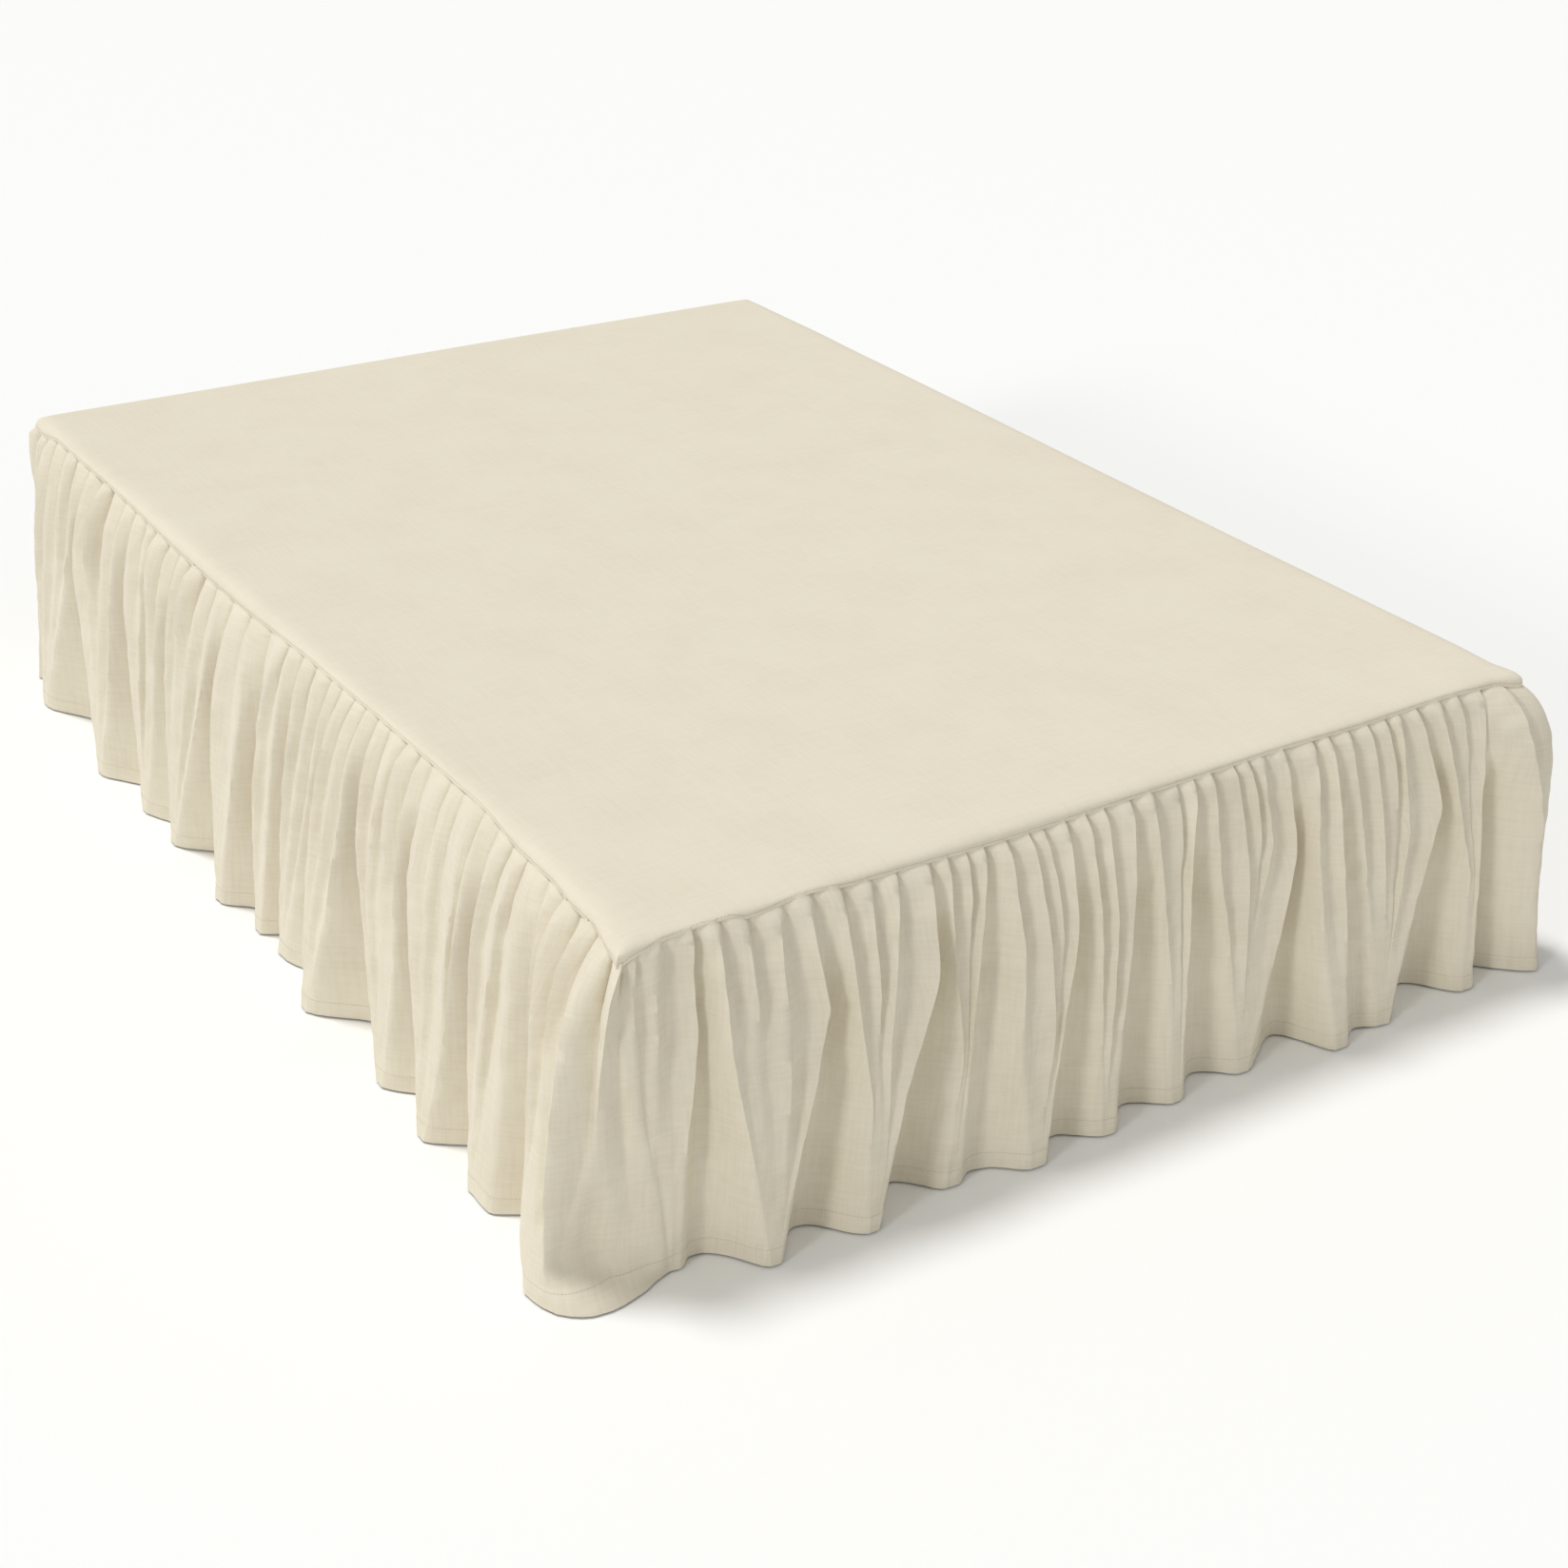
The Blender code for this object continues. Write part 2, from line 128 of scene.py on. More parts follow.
LEFT_SEAM = (
    SeamPoint(-1.870, 0.008, 0.024),
    SeamPoint(-1.800, 0.006, 0.014),
    SeamPoint(-1.560, 0.006, 0.014),
    SeamPoint(-1.290, 0.007, 0.022),
    SeamPoint(-1.110, 0.007, 0.022),
    SeamPoint(-0.820, 0.005, 0.013),
    SeamPoint(-0.600, 0.004, 0.011),
    SeamPoint(-0.380, 0.004, 0.010),
    SeamPoint(-0.240, 0.011, 0.019),
    SeamPoint(-0.180, 0.013, 0.018),
    SeamPoint(-0.120, 0.019, 0.021),
    SeamPoint(-0.035, 0.020, 0.022),
)
FOOT_SEAM = (
    SeamPoint(0.000, 0.012, 0.027),
    SeamPoint(0.014, 0.009, 0.018),
    SeamPoint(0.034, 0.006, 0.011),
    SeamPoint(0.070, 0.006, 0.008),
    SeamPoint(0.110, 0.006, 0.009),
    SeamPoint(0.136, 0.006, 0.016),
    SeamPoint(0.215, 0.006, 0.009),
    SeamPoint(0.285, 0.006, 0.015),
    SeamPoint(0.500, 0.006, 0.019),
    SeamPoint(0.790, 0.006, 0.015),
    SeamPoint(0.935, 0.006, 0.012),
    SeamPoint(1.080, 0.006, 0.014),
    SeamPoint(1.246, 0.006, 0.011),
    SeamPoint(1.330, 0.006, 0.015),
    SeamPoint(1.372, 0.020, 0.022),
)
# The left table's last rows belong to the foot corner, and the right side doesn't repeat them.
CORNER_ROWS = 3
RIGHT_HEAD_SEAM = SeamPoint(-0.020, 0.008, 0.022)

LEFT_RETURN = (
    Fold(-2.030, -2.030, 0.045, -1.975, -1.985, 0.016, 0.30),
    Fold(-1.905, -1.888, 0.058, -1.850, -1.860, 0.026, 0.20),
)
LEFT_FOLDS = (
    Fold(-1.790, -1.790, 0.076, -1.665, -1.650, 0.015, 0.35),
    Fold(-1.540, -1.510, 0.088, -1.475, -1.415, 0.040, 0.35),
    Fold(-1.410, -1.358, 0.076, -1.300, -1.285, 0.050, 0.35),
    Fold(-1.190, -1.240, 0.078, -1.105, -1.150, 0.015, 0.35),
    Fold(-1.020, -1.047, 0.086, -0.980, -0.980, 0.042, 0.35),
    Fold(-0.940, -0.939, 0.071, -0.875, -0.905, 0.045, 0.35),
    Fold(-0.810, -0.863, 0.070, -0.755, -0.780, 0.050, 0.35),
    Fold(-0.700, -0.720, 0.100, -0.650, -0.600, 0.018, 0.35),
    Fold(-0.590, -0.504, 0.094, -0.500, -0.430, 0.045, 0.35),
    Fold(-0.430, -0.370, 0.101, -0.320, -0.295, 0.040, 0.35),
    Fold(-0.260, -0.235, 0.101, -0.190, -0.140, 0.045, 0.35,
         (-0.200, -0.190, -0.185), (-0.112, -0.080, -0.048)),
)
# The right return's stations count from the head corner on the right.
RIGHT_RETURN = (
    Fold(0.000, -0.010, 0.085, 0.055, 0.050, 0.022, 0.45),
    Fold(0.100, 0.100, 0.048, 0.150, 0.150, 0.022, 0.35),
)
CORNER_FOLDS = (
    Fold(-0.046, -0.035, 0.138, 0.068, 0.062, 0.010, 0.35,
         (0.061, 0.050, 0.042), (0.088, 0.110, 0.134),
         ((-0.060, 0.128), (-0.045, 0.139), (-0.034, 0.143), (-0.022, 0.139), (-0.012, 0.124),
          (0.000, 0.097), (0.012, 0.057), (0.024, 0.035), (0.036, 0.026), (0.042, 0.026)),
         ((-0.018, 0.002), (0.006, 0.010), (0.016, 0.024), (0.038, 0.053))),
)
FOOT_FOLDS = (
    Fold(0.165, 0.141, 0.080, 0.228, 0.200, 0.029, 0.35,
         (0.222, 0.190, 0.147), (0.263, 0.279, 0.268)),
    Fold(0.330, 0.276, 0.087, 0.395, 0.350, 0.016, 0.35,
         (0.378, 0.328, 0.282), (0.410, 0.425, 0.402)),
    Fold(0.435, 0.414, 0.064, 0.475, 0.447, 0.047, 0.35,
         (0.447, 0.435, 0.422), (0.505, 0.502, 0.518)),
    Fold(0.550, 0.533, 0.086, 0.600, 0.583, 0.043, 0.35,
         (0.590, 0.566, 0.539), (0.628, 0.638, 0.640)),
    Fold(0.640, 0.652, 0.078, 0.700, 0.706, 0.033, 0.35,
         (0.682, 0.672, 0.658), (0.735, 0.755, 0.765)),
    Fold(0.760, 0.775, 0.069, 0.805, 0.835, 0.026, 0.35,
         (0.778, 0.778, 0.781), (0.830, 0.862, 0.888)),
    Fold(0.880, 0.896, 0.061, 0.955, 0.990, 0.014, 0.35,
         (0.965, 0.942, 0.902), (0.990, 1.005, 1.040)),
    Fold(0.990, 1.055, 0.087, 1.035, 1.100, 0.060, 0.35,
         (1.028, 1.048, 1.062), (1.072, 1.102, 1.132)),
    Fold(1.120, 1.145, 0.073, 1.195, 1.238, 0.010, 0.35,
         (1.222, 1.188, 1.151), (1.250, 1.298, 1.300)),
    Fold(1.255, 1.310, 0.070, 1.315, 1.348, 0.024, 0.40,
         (1.298, 1.310, 1.316), (1.345, 1.358, 1.366)),
    Fold(1.372, 1.380, 0.134, 1.435, 1.445, 0.075, 0.45,
         (1.398, 1.400, 1.395), (1.460, 1.480, 1.500)),
)
FOOT_CREASES = (
    Crease(0.002, -0.016, 0.34, -0.032, 0.88, 13.0),
    Crease(0.010, 0.010, 0.20, 0.010, 0.36, 3.5),
    Crease(0.024, 0.026, 0.30, 0.021, 0.62, 5.5),
    Crease(0.164, 0.168, 0.26, 0.157, 0.84, 6.0),
    Crease(0.121, 0.131, 0.24, 0.124, 0.36, 6.0),
    Crease(0.330, 0.306, 0.47, 0.300, 0.76, 6.0),
    Crease(0.290, 0.292, 0.30, 0.290, 0.45, 6.0),
    Crease(0.533, 0.556, 0.58, 0.537, 0.92, 6.0),
    Crease(0.645, 0.654, 0.30, 0.648, 0.92, 6.5),
    Crease(0.898, 0.918, 0.25, 0.896, 0.56, 6.0),
    Crease(0.861, 0.880, 0.35, 0.893, 0.85, 6.0),
    Crease(1.141, 1.160, 0.35, 1.144, 0.85, 6.0),
    Crease(1.101, 1.115, 0.35, 1.140, 0.70, 6.0),
)
LEFT_CREASES = (
    Crease(-0.046, -0.041, 0.50, -0.035, 1.00, 15.0),
    Crease(-0.240, -0.245, 0.40, -0.240, 0.95, 6.0),
    Crease(-0.430, -0.412, 0.28, -0.380, 0.95, 6.0),
    Crease(-0.370, -0.355, 0.30, -0.345, 0.75, 5.0),
    Crease(-0.581, -0.575, 0.45, -0.512, 0.95, 6.0),
    Crease(-0.700, -0.705, 0.30, -0.722, 0.95, 6.0),
    Crease(-0.805, -0.822, 0.32, -0.858, 0.95, 6.0),
    Crease(-0.930, -0.928, 0.43, -0.936, 0.95, 6.0),
    Crease(-1.020, -1.030, 0.45, -1.042, 0.95, 6.0),
    Crease(-1.185, -1.205, 0.50, -1.232, 0.95, 6.0),
    Crease(-1.402, -1.380, 0.24, -1.360, 0.95, 6.0),
    Crease(-1.540, -1.525, 0.33, -1.514, 0.95, 6.0),
    Crease(-1.790, -1.788, 0.38, -1.790, 0.95, 6.0),
)


# ---------------------------------------------------------------- small helpers

def blend(share: np.ndarray) -> np.ndarray:
    """Smooth step from 0 to 1."""
    share = np.clip(share, 0.0, 1.0)
    return share * share * (3 - 2 * share)


def mix(start: Any, end: Any, share: Any) -> Any:
    """The value that lies at a share of the way from start to end."""
    return start + (end - start) * share


def soft_interp(where: np.ndarray, stations: Sequence[float], values: Sequence[float]) -> np.ndarray:
    """Interpolate with a smooth step between table rows.

    Args:
        where: places at which the value is wanted.
        stations: the rows' places, in growing order.
        values: the rows' values.

    Returns:
        The values at those places.
    """
    at = np.asarray(stations, float)
    known = np.asarray(values, float)
    last = np.clip(np.searchsorted(at, where), 1, len(at) - 1)
    share = blend((where - at[last - 1]) / np.maximum(at[last] - at[last - 1], 1e-9))
    return mix(known[last - 1], known[last], share)


def linear_colour(sheet_hex: str) -> tuple[float, float, float, float]:
    """Turn an sRGB hex colour into linear values.

    Args:
        sheet_hex: six hex digits, such as "e6dcc4".

    Returns:
        Linear red, green, blue and alpha.
    """
    values = [int(sheet_hex[at:at + 2], 16) / 255 for at in (0, 2, 4)]
    linear = [v / 12.92 if v <= 0.04045 else ((v + 0.055) / 1.055) ** 2.4 for v in values]
    return (linear[0], linear[1], linear[2], 1.0)


def add_node(tree: Any, kind: str, settings: dict[str, Any] | None = None,
             inputs: dict[Any, Any] | None = None) -> Any:
    """Add one shader node with its settings and its links.

    Args:
        tree: the material's node tree.
        kind: the node's type name.
        settings: attributes to set on the node.
        inputs: for each input's name or number, a value, or an output socket to link.

    Returns:
        The new node.
    """
    node = tree.nodes.new(kind)
    for name, value in (settings or {}).items():
        setattr(node, name, value)
    for name, value in (inputs or {}).items():
        if isinstance(value, bpy.types.NodeSocket):
            tree.links.new(value, node.inputs[name])
        else:
            node.inputs[name].default_value = value
    return node


def new_material(name: str) -> tuple[Any, Any, Any]:
    """Make a material with nodes.

    Args:
        name: the material's name.

    Returns:
        The material, its node tree and its Principled shader.
    """
    slot = bpy.data.materials.new(name)
    slot.use_nodes = True
    return slot, slot.node_tree, slot.node_tree.nodes["Principled BSDF"]


def mesh_piece(name: str, points: np.ndarray, faces: np.ndarray, cloth_uv: np.ndarray | None = None,
               sharp_degrees: float = 60.0) -> Any:
    """Make a smooth-shaded mesh object.

    Args:
        name: the piece's name.
        points: one row of three coordinates for each vertex.
        faces: one row of four vertex numbers for each face.
        cloth_uv: one row for each vertex, its place on the flat cloth in metres.
        sharp_degrees: edges that turn by more than this stay sharp.

    Returns:
        The linked object.
    """
    mesh = bpy.data.meshes.new(name)
    mesh.from_pydata(points.tolist(), [], faces.tolist())
    if cloth_uv is not None:
        layer = mesh.uv_layers.new(name="cloth")
        corners = np.empty(len(mesh.loops), np.int32)
        mesh.loops.foreach_get("vertex_index", corners)
        layer.data.foreach_set("uv", cloth_uv[corners].astype(np.float32).ravel())
    mesh.shade_smooth()
    mesh.set_sharp_from_angle(angle=math.radians(sharp_degrees))
    piece = bpy.data.objects.new(name, mesh)
    bpy.context.scene.collection.objects.link(piece)
    return piece


def grid_faces(columns: int, rows: int, first: int, ring: bool, flip: bool) -> np.ndarray:
    """Quads over a grid whose vertices are numbered column by column.

    Args:
        columns: how many columns the grid has.
        rows: how many vertices each column has.
        first: number of the grid's first vertex.
        ring: whether the last column is joined to the first.
        flip: whether the faces look the other way.

    Returns:
        One row of four vertex numbers for each quad.
    """
    near = np.arange(columns if ring else columns - 1)
    far = (near + 1) % columns
    row = np.arange(rows - 1)
    quads = np.stack(np.broadcast_arrays(
        near[:, None] * rows + row, near[:, None] * rows + row + 1,
        far[:, None] * rows + row + 1, far[:, None] * rows + row,
    ), axis=-1).reshape(-1, 4) + first
    return quads[:, ::-1] if flip else quads


def strip_faces(one: np.ndarray, other: np.ndarray, ring: bool = False) -> np.ndarray:
    """Quads between two rows of vertex numbers of equal length.

    Args:
        one: the first row.
        other: the second row.
        ring: whether the rows' ends are joined too.

    Returns:
        One row of four vertex numbers for each quad.
    """
    if ring:
        one, other = np.append(one, one[0]), np.append(other, other[0])
    return np.stack((one[:-1], other[:-1], other[1:], one[1:]), axis=-1)


def unit(ways: np.ndarray) -> np.ndarray:
    """The same ways at a length of 1."""
    return ways / np.maximum(np.linalg.norm(ways, axis=-1, keepdims=True), 1e-12)


def sheet_normals(grid: np.ndarray, ring: bool) -> np.ndarray:
    """Unit normals of a grid of points, from its neighbours along and down.

    Args:
        grid: points, columns by rows by x, y and z.
        ring: whether the last column is joined to the first.

    Returns:
        The normals, in the grid's own layout.
    """
    down = np.gradient(grid, axis=1)
    if ring:
        along = (np.roll(grid, -1, axis=0) - np.roll(grid, 1, axis=0)) / 2
    else:
        along = np.gradient(grid, axis=0)
    return unit(np.cross(down, along))


# ---------------------------------------------------------------- the lie of the bed

@dataclass(frozen=True)
class BedOutline:
    """The deck's square outline, which stations run along.

    Attributes:
        centre: the bed's middle in the row frame.
        width: the deck's width, of a 54 inch full-size bed.
        length: the deck's length, 75 inches.
        height: the deck's height over the floor, an 18 inch drop.
    """

    centre: tuple[float, float]
    width: float = 1.372
    length: float = 1.905
    height: float = 0.457

    @property
    def behind(self) -> float:
        """Station of the head corner on the right."""
        return self.width + self.length

    def at(self, station: np.ndarray, radius: np.ndarray | float) -> tuple[np.ndarray, np.ndarray]:
        """Places on the outline with its corners rounded.

        Args:
            station: distances along the square outline.
            radius: how far from each corner its rounding starts.

        Returns:
            The places and the unit ways out from them, each with x and y in its last axis.
        """
        station, radius = np.broadcast_arrays(np.asarray(station, float), radius)
        half_width, half_length = self.width / 2, self.length / 2
        starts = np.array([-self.behind, -self.length, 0.0, self.width, self.behind])
        lengths = np.array([self.width, self.length, self.width, self.length, self.width])
        corners = np.array([
            (half_width, half_length), (-half_width, half_length), (-half_width, -half_length),
            (half_width, -half_length), (half_width, half_length),
        ])
        alongs = np.array([(-1, 0), (0, -1), (1, 0), (0, 1), (-1, 0)], float)
        side = np.clip(np.searchsorted(starts, station - 1e-9) - 1, 0, len(starts) - 1)
        along = alongs[side]
        out = np.stack((along[..., 1], -along[..., 0]), axis=-1)
        here = station - starts[side]
        length = lengths[side]
        before, after = here < radius, here > length - radius
        turn = np.where(before, here - radius, np.where(after, here - length + radius, 0.0))
        turn = turn / radius * math.pi / 4
        way = out * np.cos(turn)[..., None] + along * np.sin(turn)[..., None]
        straight = np.where(before, radius, np.where(after, length - radius, here))
        place = corners[side] + along * straight[..., None] + (way - out) * radius[..., None]
        return place + np.array(self.centre), way


@dataclass(frozen=True)
class SeamLine:
    """The seam between the deck panel and the drop.

    Attributes:
        outline: the deck's outline.
        corner_radius: rounding of the bed's corners at the seam.
        turn_radius: distance before and after a corner over which the cloth turns round it.
        head_out: how far the panel's head edge stands out.
        head_drop: how far it turns down.
        head_run: distance over which the seam meets the head edge.
        tip: how far the cloth's near foot corner droops out past its rounding, across and along.
        tip_runs: distances before and after the corner over which that droop dies out.
        tip_power: how pointed the droop is.
    """

    outline: BedOutline
    corner_radius: float = 0.005
    turn_radius: float = 0.060
    head_out: float = 0.006
    head_drop: float = 0.020
    head_run: float = 0.030
    tip: tuple[float, float] = (-0.030, -0.001)
    tip_runs: tuple[float, float] = (0.075, 0.050)
    tip_power: float = 1.5

    def rows(self) -> list[SeamPoint]:
        """The seam's table round the whole bed: the right side repeats the left one.

        Returns:
            Its rows, in the order of their stations.
        """
        behind = self.outline.behind
        before = [
            SeamPoint(-behind, self.head_out, self.head_drop),
            SeamPoint(-self.outline.length - self.head_run, self.head_out, self.head_drop),
        ]
        right = [row._replace(station=row.station + behind) for row in LEFT_SEAM[:-CORNER_ROWS]]
        after = [
            RIGHT_HEAD_SEAM._replace(station=behind + RIGHT_HEAD_SEAM.station),
            SeamPoint(behind + self.head_run, self.head_out, self.head_drop),
            SeamPoint(behind + self.outline.width, self.head_out, self.head_drop),
        ]
        return [*before, *LEFT_SEAM, *FOOT_SEAM, *right, *after]

    def at(self, station: np.ndarray) -> tuple[np.ndarray, np.ndarray]:
        """Where the seam runs at some stations.

        Args:
            station: distances along the square outline.

        Returns:
            How far the seam stands out, and its height over the floor.
        """
        rows = self.rows()
        stations = [row.station for row in rows]
        out = soft_interp(station, stations, [row.out for row in rows])
        drop = soft_interp(station, stations, [row.drop for row in rows])
        return out, self.outline.height - drop

    def rim(self, station: np.ndarray) -> tuple[np.ndarray, np.ndarray]:
        """Places on the bed's edge, its corners rounded and the near one drooping.

        Args:
            station: distances along the square outline.

        Returns:
            The places and the unit ways out from them, each with x and y in its last axis.
        """
        place, _ = self.outline.at(station, self.corner_radius)
        _, way = self.outline.at(station, self.turn_radius)
        return place + self.droop(station), way

    def droop(self, station: np.ndarray) -> np.ndarray:
        """The near corner's droop.

        Args:
            station: distances along the square outline.

        Returns:
            How far the edge moves at each station, with x and y in the last axis.
        """
        run = np.where(station < 0, self.tip_runs[0], self.tip_runs[1])
        share = np.clip(1 - np.abs(station) / run, 0, 1) ** self.tip_power
        return share[..., None] * np.array(self.tip)


class Gather(NamedTuple):
    """A small gather's crest, with side 1, or valley, with side -1, at the seam and the hem."""

    seam: float
    hem: float
    side: int


@dataclass(frozen=True)
class FoldPlan:
    """How the drop's main folds and small gathers lie round the bed.

    Attributes:
        outline: the deck's outline.
        half_pitch: distance from a gather's crest to its valley along the foot's seam.
        side_half_pitch: the same along the two sides.
        stray: share of a half pitch by which a gather may stray.
        return_length: how far the drop turns round a head corner.
        return_end_out: how far the hem stands out at a return's end.
        foot_margins: how far past the foot's two corners the gathers keep the foot's pitch.
        crease_room: share of the way to its neighbour by which a gather may move to a crease.
        corner_length: how far up the left side creases belong to the foot corner alone.
        seed: seed of the strays.
    """

    outline: BedOutline
    half_pitch: float = 0.0185
    side_half_pitch: float = 0.0215
    stray: float = 0.27
    return_length: float = 0.150
    return_end_out: float = 0.020
    foot_margins: tuple[float, float] = (0.2, 0.05)
    crease_room: float = 0.6
    corner_length: float = 0.15
    seed: int = 11

    def folds(self) -> list[Fold]:
        """Every main fold in order: the right side repeats the left one.

        Returns:
            The folds, from the left return to the right one.
        """
        behind = self.outline.behind
        moved = [
            fold._replace(
                crest_seam=fold.crest_seam + behind, crest_hem=fold.crest_hem + behind,
                valley_seam=fold.valley_seam + behind, valley_hem=fold.valley_hem + behind,
                near=tuple(at + behind for at in fold.near),
                far=tuple(at + behind for at in fold.far),
            )
            for fold in LEFT_FOLDS + RIGHT_RETURN
        ]
        return [*LEFT_RETURN, *LEFT_FOLDS, *CORNER_FOLDS, *FOOT_FOLDS, *moved]

    def creases(self) -> list[Crease]:
        """Every crease: the right side repeats the left one, away from the foot corner.

        Returns:
            The creases of the left side, the foot and the right side.
        """
        behind = self.outline.behind
        moved = [
            crease._replace(seam=crease.seam + behind, kink=crease.kink + behind,
                            end=crease.end + behind)
            for crease in LEFT_CREASES if crease.seam < -self.corner_length
        ]
        return [*LEFT_CREASES, *FOOT_CREASES, *moved]

    def gathers(self) -> list[Gather]:
        """Every small gather. An odd number of halves joins a main crest to a main valley.

        The gather nearest to a crease's start moves to it.

        Returns:
            The crests and valleys in turn, in the order of their stations.
        """
        random.seed(self.seed)
        end = -self.outline.length - self.return_length
        nodes = [(end, end, False)]
        for fold in self.folds():
            nodes.append((fold.crest_seam, fold.crest_hem, True))
            for pleat in fold.pleats:
                for seam, crest in zip(pleat, (False, True)):
                    share = (seam - fold.crest_seam) / (fold.valley_seam - fold.crest_seam)
                    nodes.append((seam, mix(fold.crest_hem, fold.valley_hem, share), crest))
            nodes.append((fold.valley_seam, fold.valley_hem, False))
        gathers = []
        for first, last in zip(nodes, nodes[1:]):
            middle = (first[0] + last[0]) / 2
            foot = -self.foot_margins[0] < middle < self.outline.width + self.foot_margins[1]
            half_pitch = self.half_pitch if foot else self.side_half_pitch
            halves = max(1, 2 * round((last[0] - first[0]) / half_pitch / 2 - 0.5) + 1)
            for step in range(halves):
                stray = random.uniform(-self.stray, self.stray) if step else 0.0
                share = (step + stray) / halves
                rising = first[2] if step % 2 == 0 else not first[2]
                gathers.append(Gather(
                    mix(first[0], last[0], share), mix(first[1], last[1], share),
                    1 if rising else -1,
                ))
        seam, hem, rising = nodes[-1]
        gathers.append(Gather(seam, hem, 1 if rising else -1))
        for crease in self.creases():
            crests = [at for at, g in enumerate(gathers) if g.side > 0]
            at = min(crests, key=lambda node: abs(gathers[node].seam - crease.seam))
            back = self.crease_room * (gathers[at].seam - gathers[at - 1].seam)
            ahead = self.crease_room * (gathers[at + 1].seam - gathers[at].seam)
            shift = min(max(crease.seam - gathers[at].seam, -back), ahead)
            gathers[at] = gathers[at]._replace(seam=gathers[at].seam + shift)
        return gathers


@dataclass(frozen=True)
class GatherForm:
    """The small gathers: how high they are, how long they run and how their lines wander.

    Shares are of the drop's height, from the seam down.

    Attributes:
        depth: height of a plain gather on the foot from valley to crest.
        side_depth: the same along the two sides.
        border_depth: height of the gathers that run on as a hollow's borders.
        heights: least and most height of a gather, in plain gathers' heights.
        seam_height: a gather's height right under the seam, in its full height.
        full_height_share: the share at which a gather has its full height.
        starts: least and most share at which a gather starts to die out.
        ends: least and most share at which it has died out.
        foot_end: the least such share on the foot.
        foot_end_scale: how much of the spread of ends the foot keeps.
        near_run: shares at which a hollow's near border starts to die out and has died out.
        far_run: the same for its far border.
        lean: how far a gather's crest on the foot leans towards the next one.
        side_lean: how far a gather's crest along the sides leans towards the one before.
        lean_loss: how much of its lean a gather gives up on the way down.
        lean_loss_start: the share at which it starts to.
        lean_loss_run: the share over which it does.
        guided_share: the share over which a border's or a crease's crest gives up all of it.
        crease_start: where a crease starts to die out, in the share at which it ends.
        crease_return: the share, past the hem, towards which a crease's line goes back among the
            plain gathers.
        sway: how far a gather's line sways from side to side.
        sway_turn: how far that sway's phase turns down the drop, in radians.
        sway_share: the share over which it grows.
        guide_gap: least distance between guided lines, for each gather from one to the next.
        line_gap: least distance between two gathers' lines.
        foot_valley: how deep a foot gather's valley lies under the fold, in its height.
        side_valley: the same along the sides.
        slit_power: how narrow the valleys between the side's gathers are under the seam.
        crisp_start: the share at which the sides' gathers begin to turn crisp.
        foot_crisp_run: the share over which the foot's gathers turn crisp.
        side_crisp_run: the same along the sides.
        foot_crest_power: how pointed the foot's crisp gathers are.
    """

    depth: float = 0.0130
    side_depth: float = 0.0285
    border_depth: float = 0.0140
    heights: tuple[float, float] = (0.60, 1.22)
    seam_height: float = 0.42
    full_height_share: float = 0.032
    starts: tuple[float, float] = (0.04, 0.16)
    ends: tuple[float, float] = (0.26, 0.80)
    foot_end: float = 0.18
    foot_end_scale: float = 0.6
    near_run: tuple[float, float] = (0.30, 0.95)
    far_run: tuple[float, float] = (0.20, 0.80)
    lean: float = 0.0055
    side_lean: float = 0.0012
    lean_loss: float = 0.7
    lean_loss_start: float = 0.35
    lean_loss_run: float = 0.4
    guided_share: float = 0.15
    crease_start: float = 0.5
    crease_return: float = 1.05
    sway: float = 0.0016
    sway_turn: float = 7.0
    sway_share: float = 0.25
    guide_gap: float = 0.0012
    line_gap: float = 0.0006
    foot_valley: float = 0.5
    side_valley: float = 0.62
    slit_power: float = 0.60
    crisp_start: float = 0.04
    foot_crisp_run: float = 0.09
    side_crisp_run: float = 0.24
    foot_crest_power: float = 1.5


@dataclass(frozen=True)
class HollowForm:
    """The hollows between the main folds.

    Attributes:
        knots: the shares of the height at which a hollow's lines are given.
        edge_gap: how far a hollow's steep border stays from its crest at the hem.
        slow_edge_gap: the same for its slow border.
        foot_floor: where a foot hollow's floor lies between its borders, at the middle knots.
        side_floor: the same along the sides.
        width: half a hollow's width at the first middle knot where no borders are given.
        reach: share of the way to the crests that such a hollow reaches at the next knot.
        last_run: how far past its floor the last hollow runs at the hem.
        steep_powers: how sharply a hollow turns at its steep border, at the seam and the hem.
        soft_powers: the same at its slow border.
        start: the share of the height at which hollows begin to open.
        opening: the share over which they open.
    """

    knots: tuple[float, ...] = (0.0, 0.3, 0.6, 1.0)
    edge_gap: float = 0.004
    slow_edge_gap: float = 0.012
    foot_floor: tuple[float, float] = (0.34, 0.36)
    side_floor: tuple[float, float] = (0.60, 0.58)
    width: float = 0.020
    reach: float = 0.45
    last_run: float = 0.05
    steep_powers: tuple[float, float] = (0.95, 1.35)
    soft_powers: tuple[float, float] = (1.4, 1.45)
    start: float = 0.04
    opening: float = 0.34


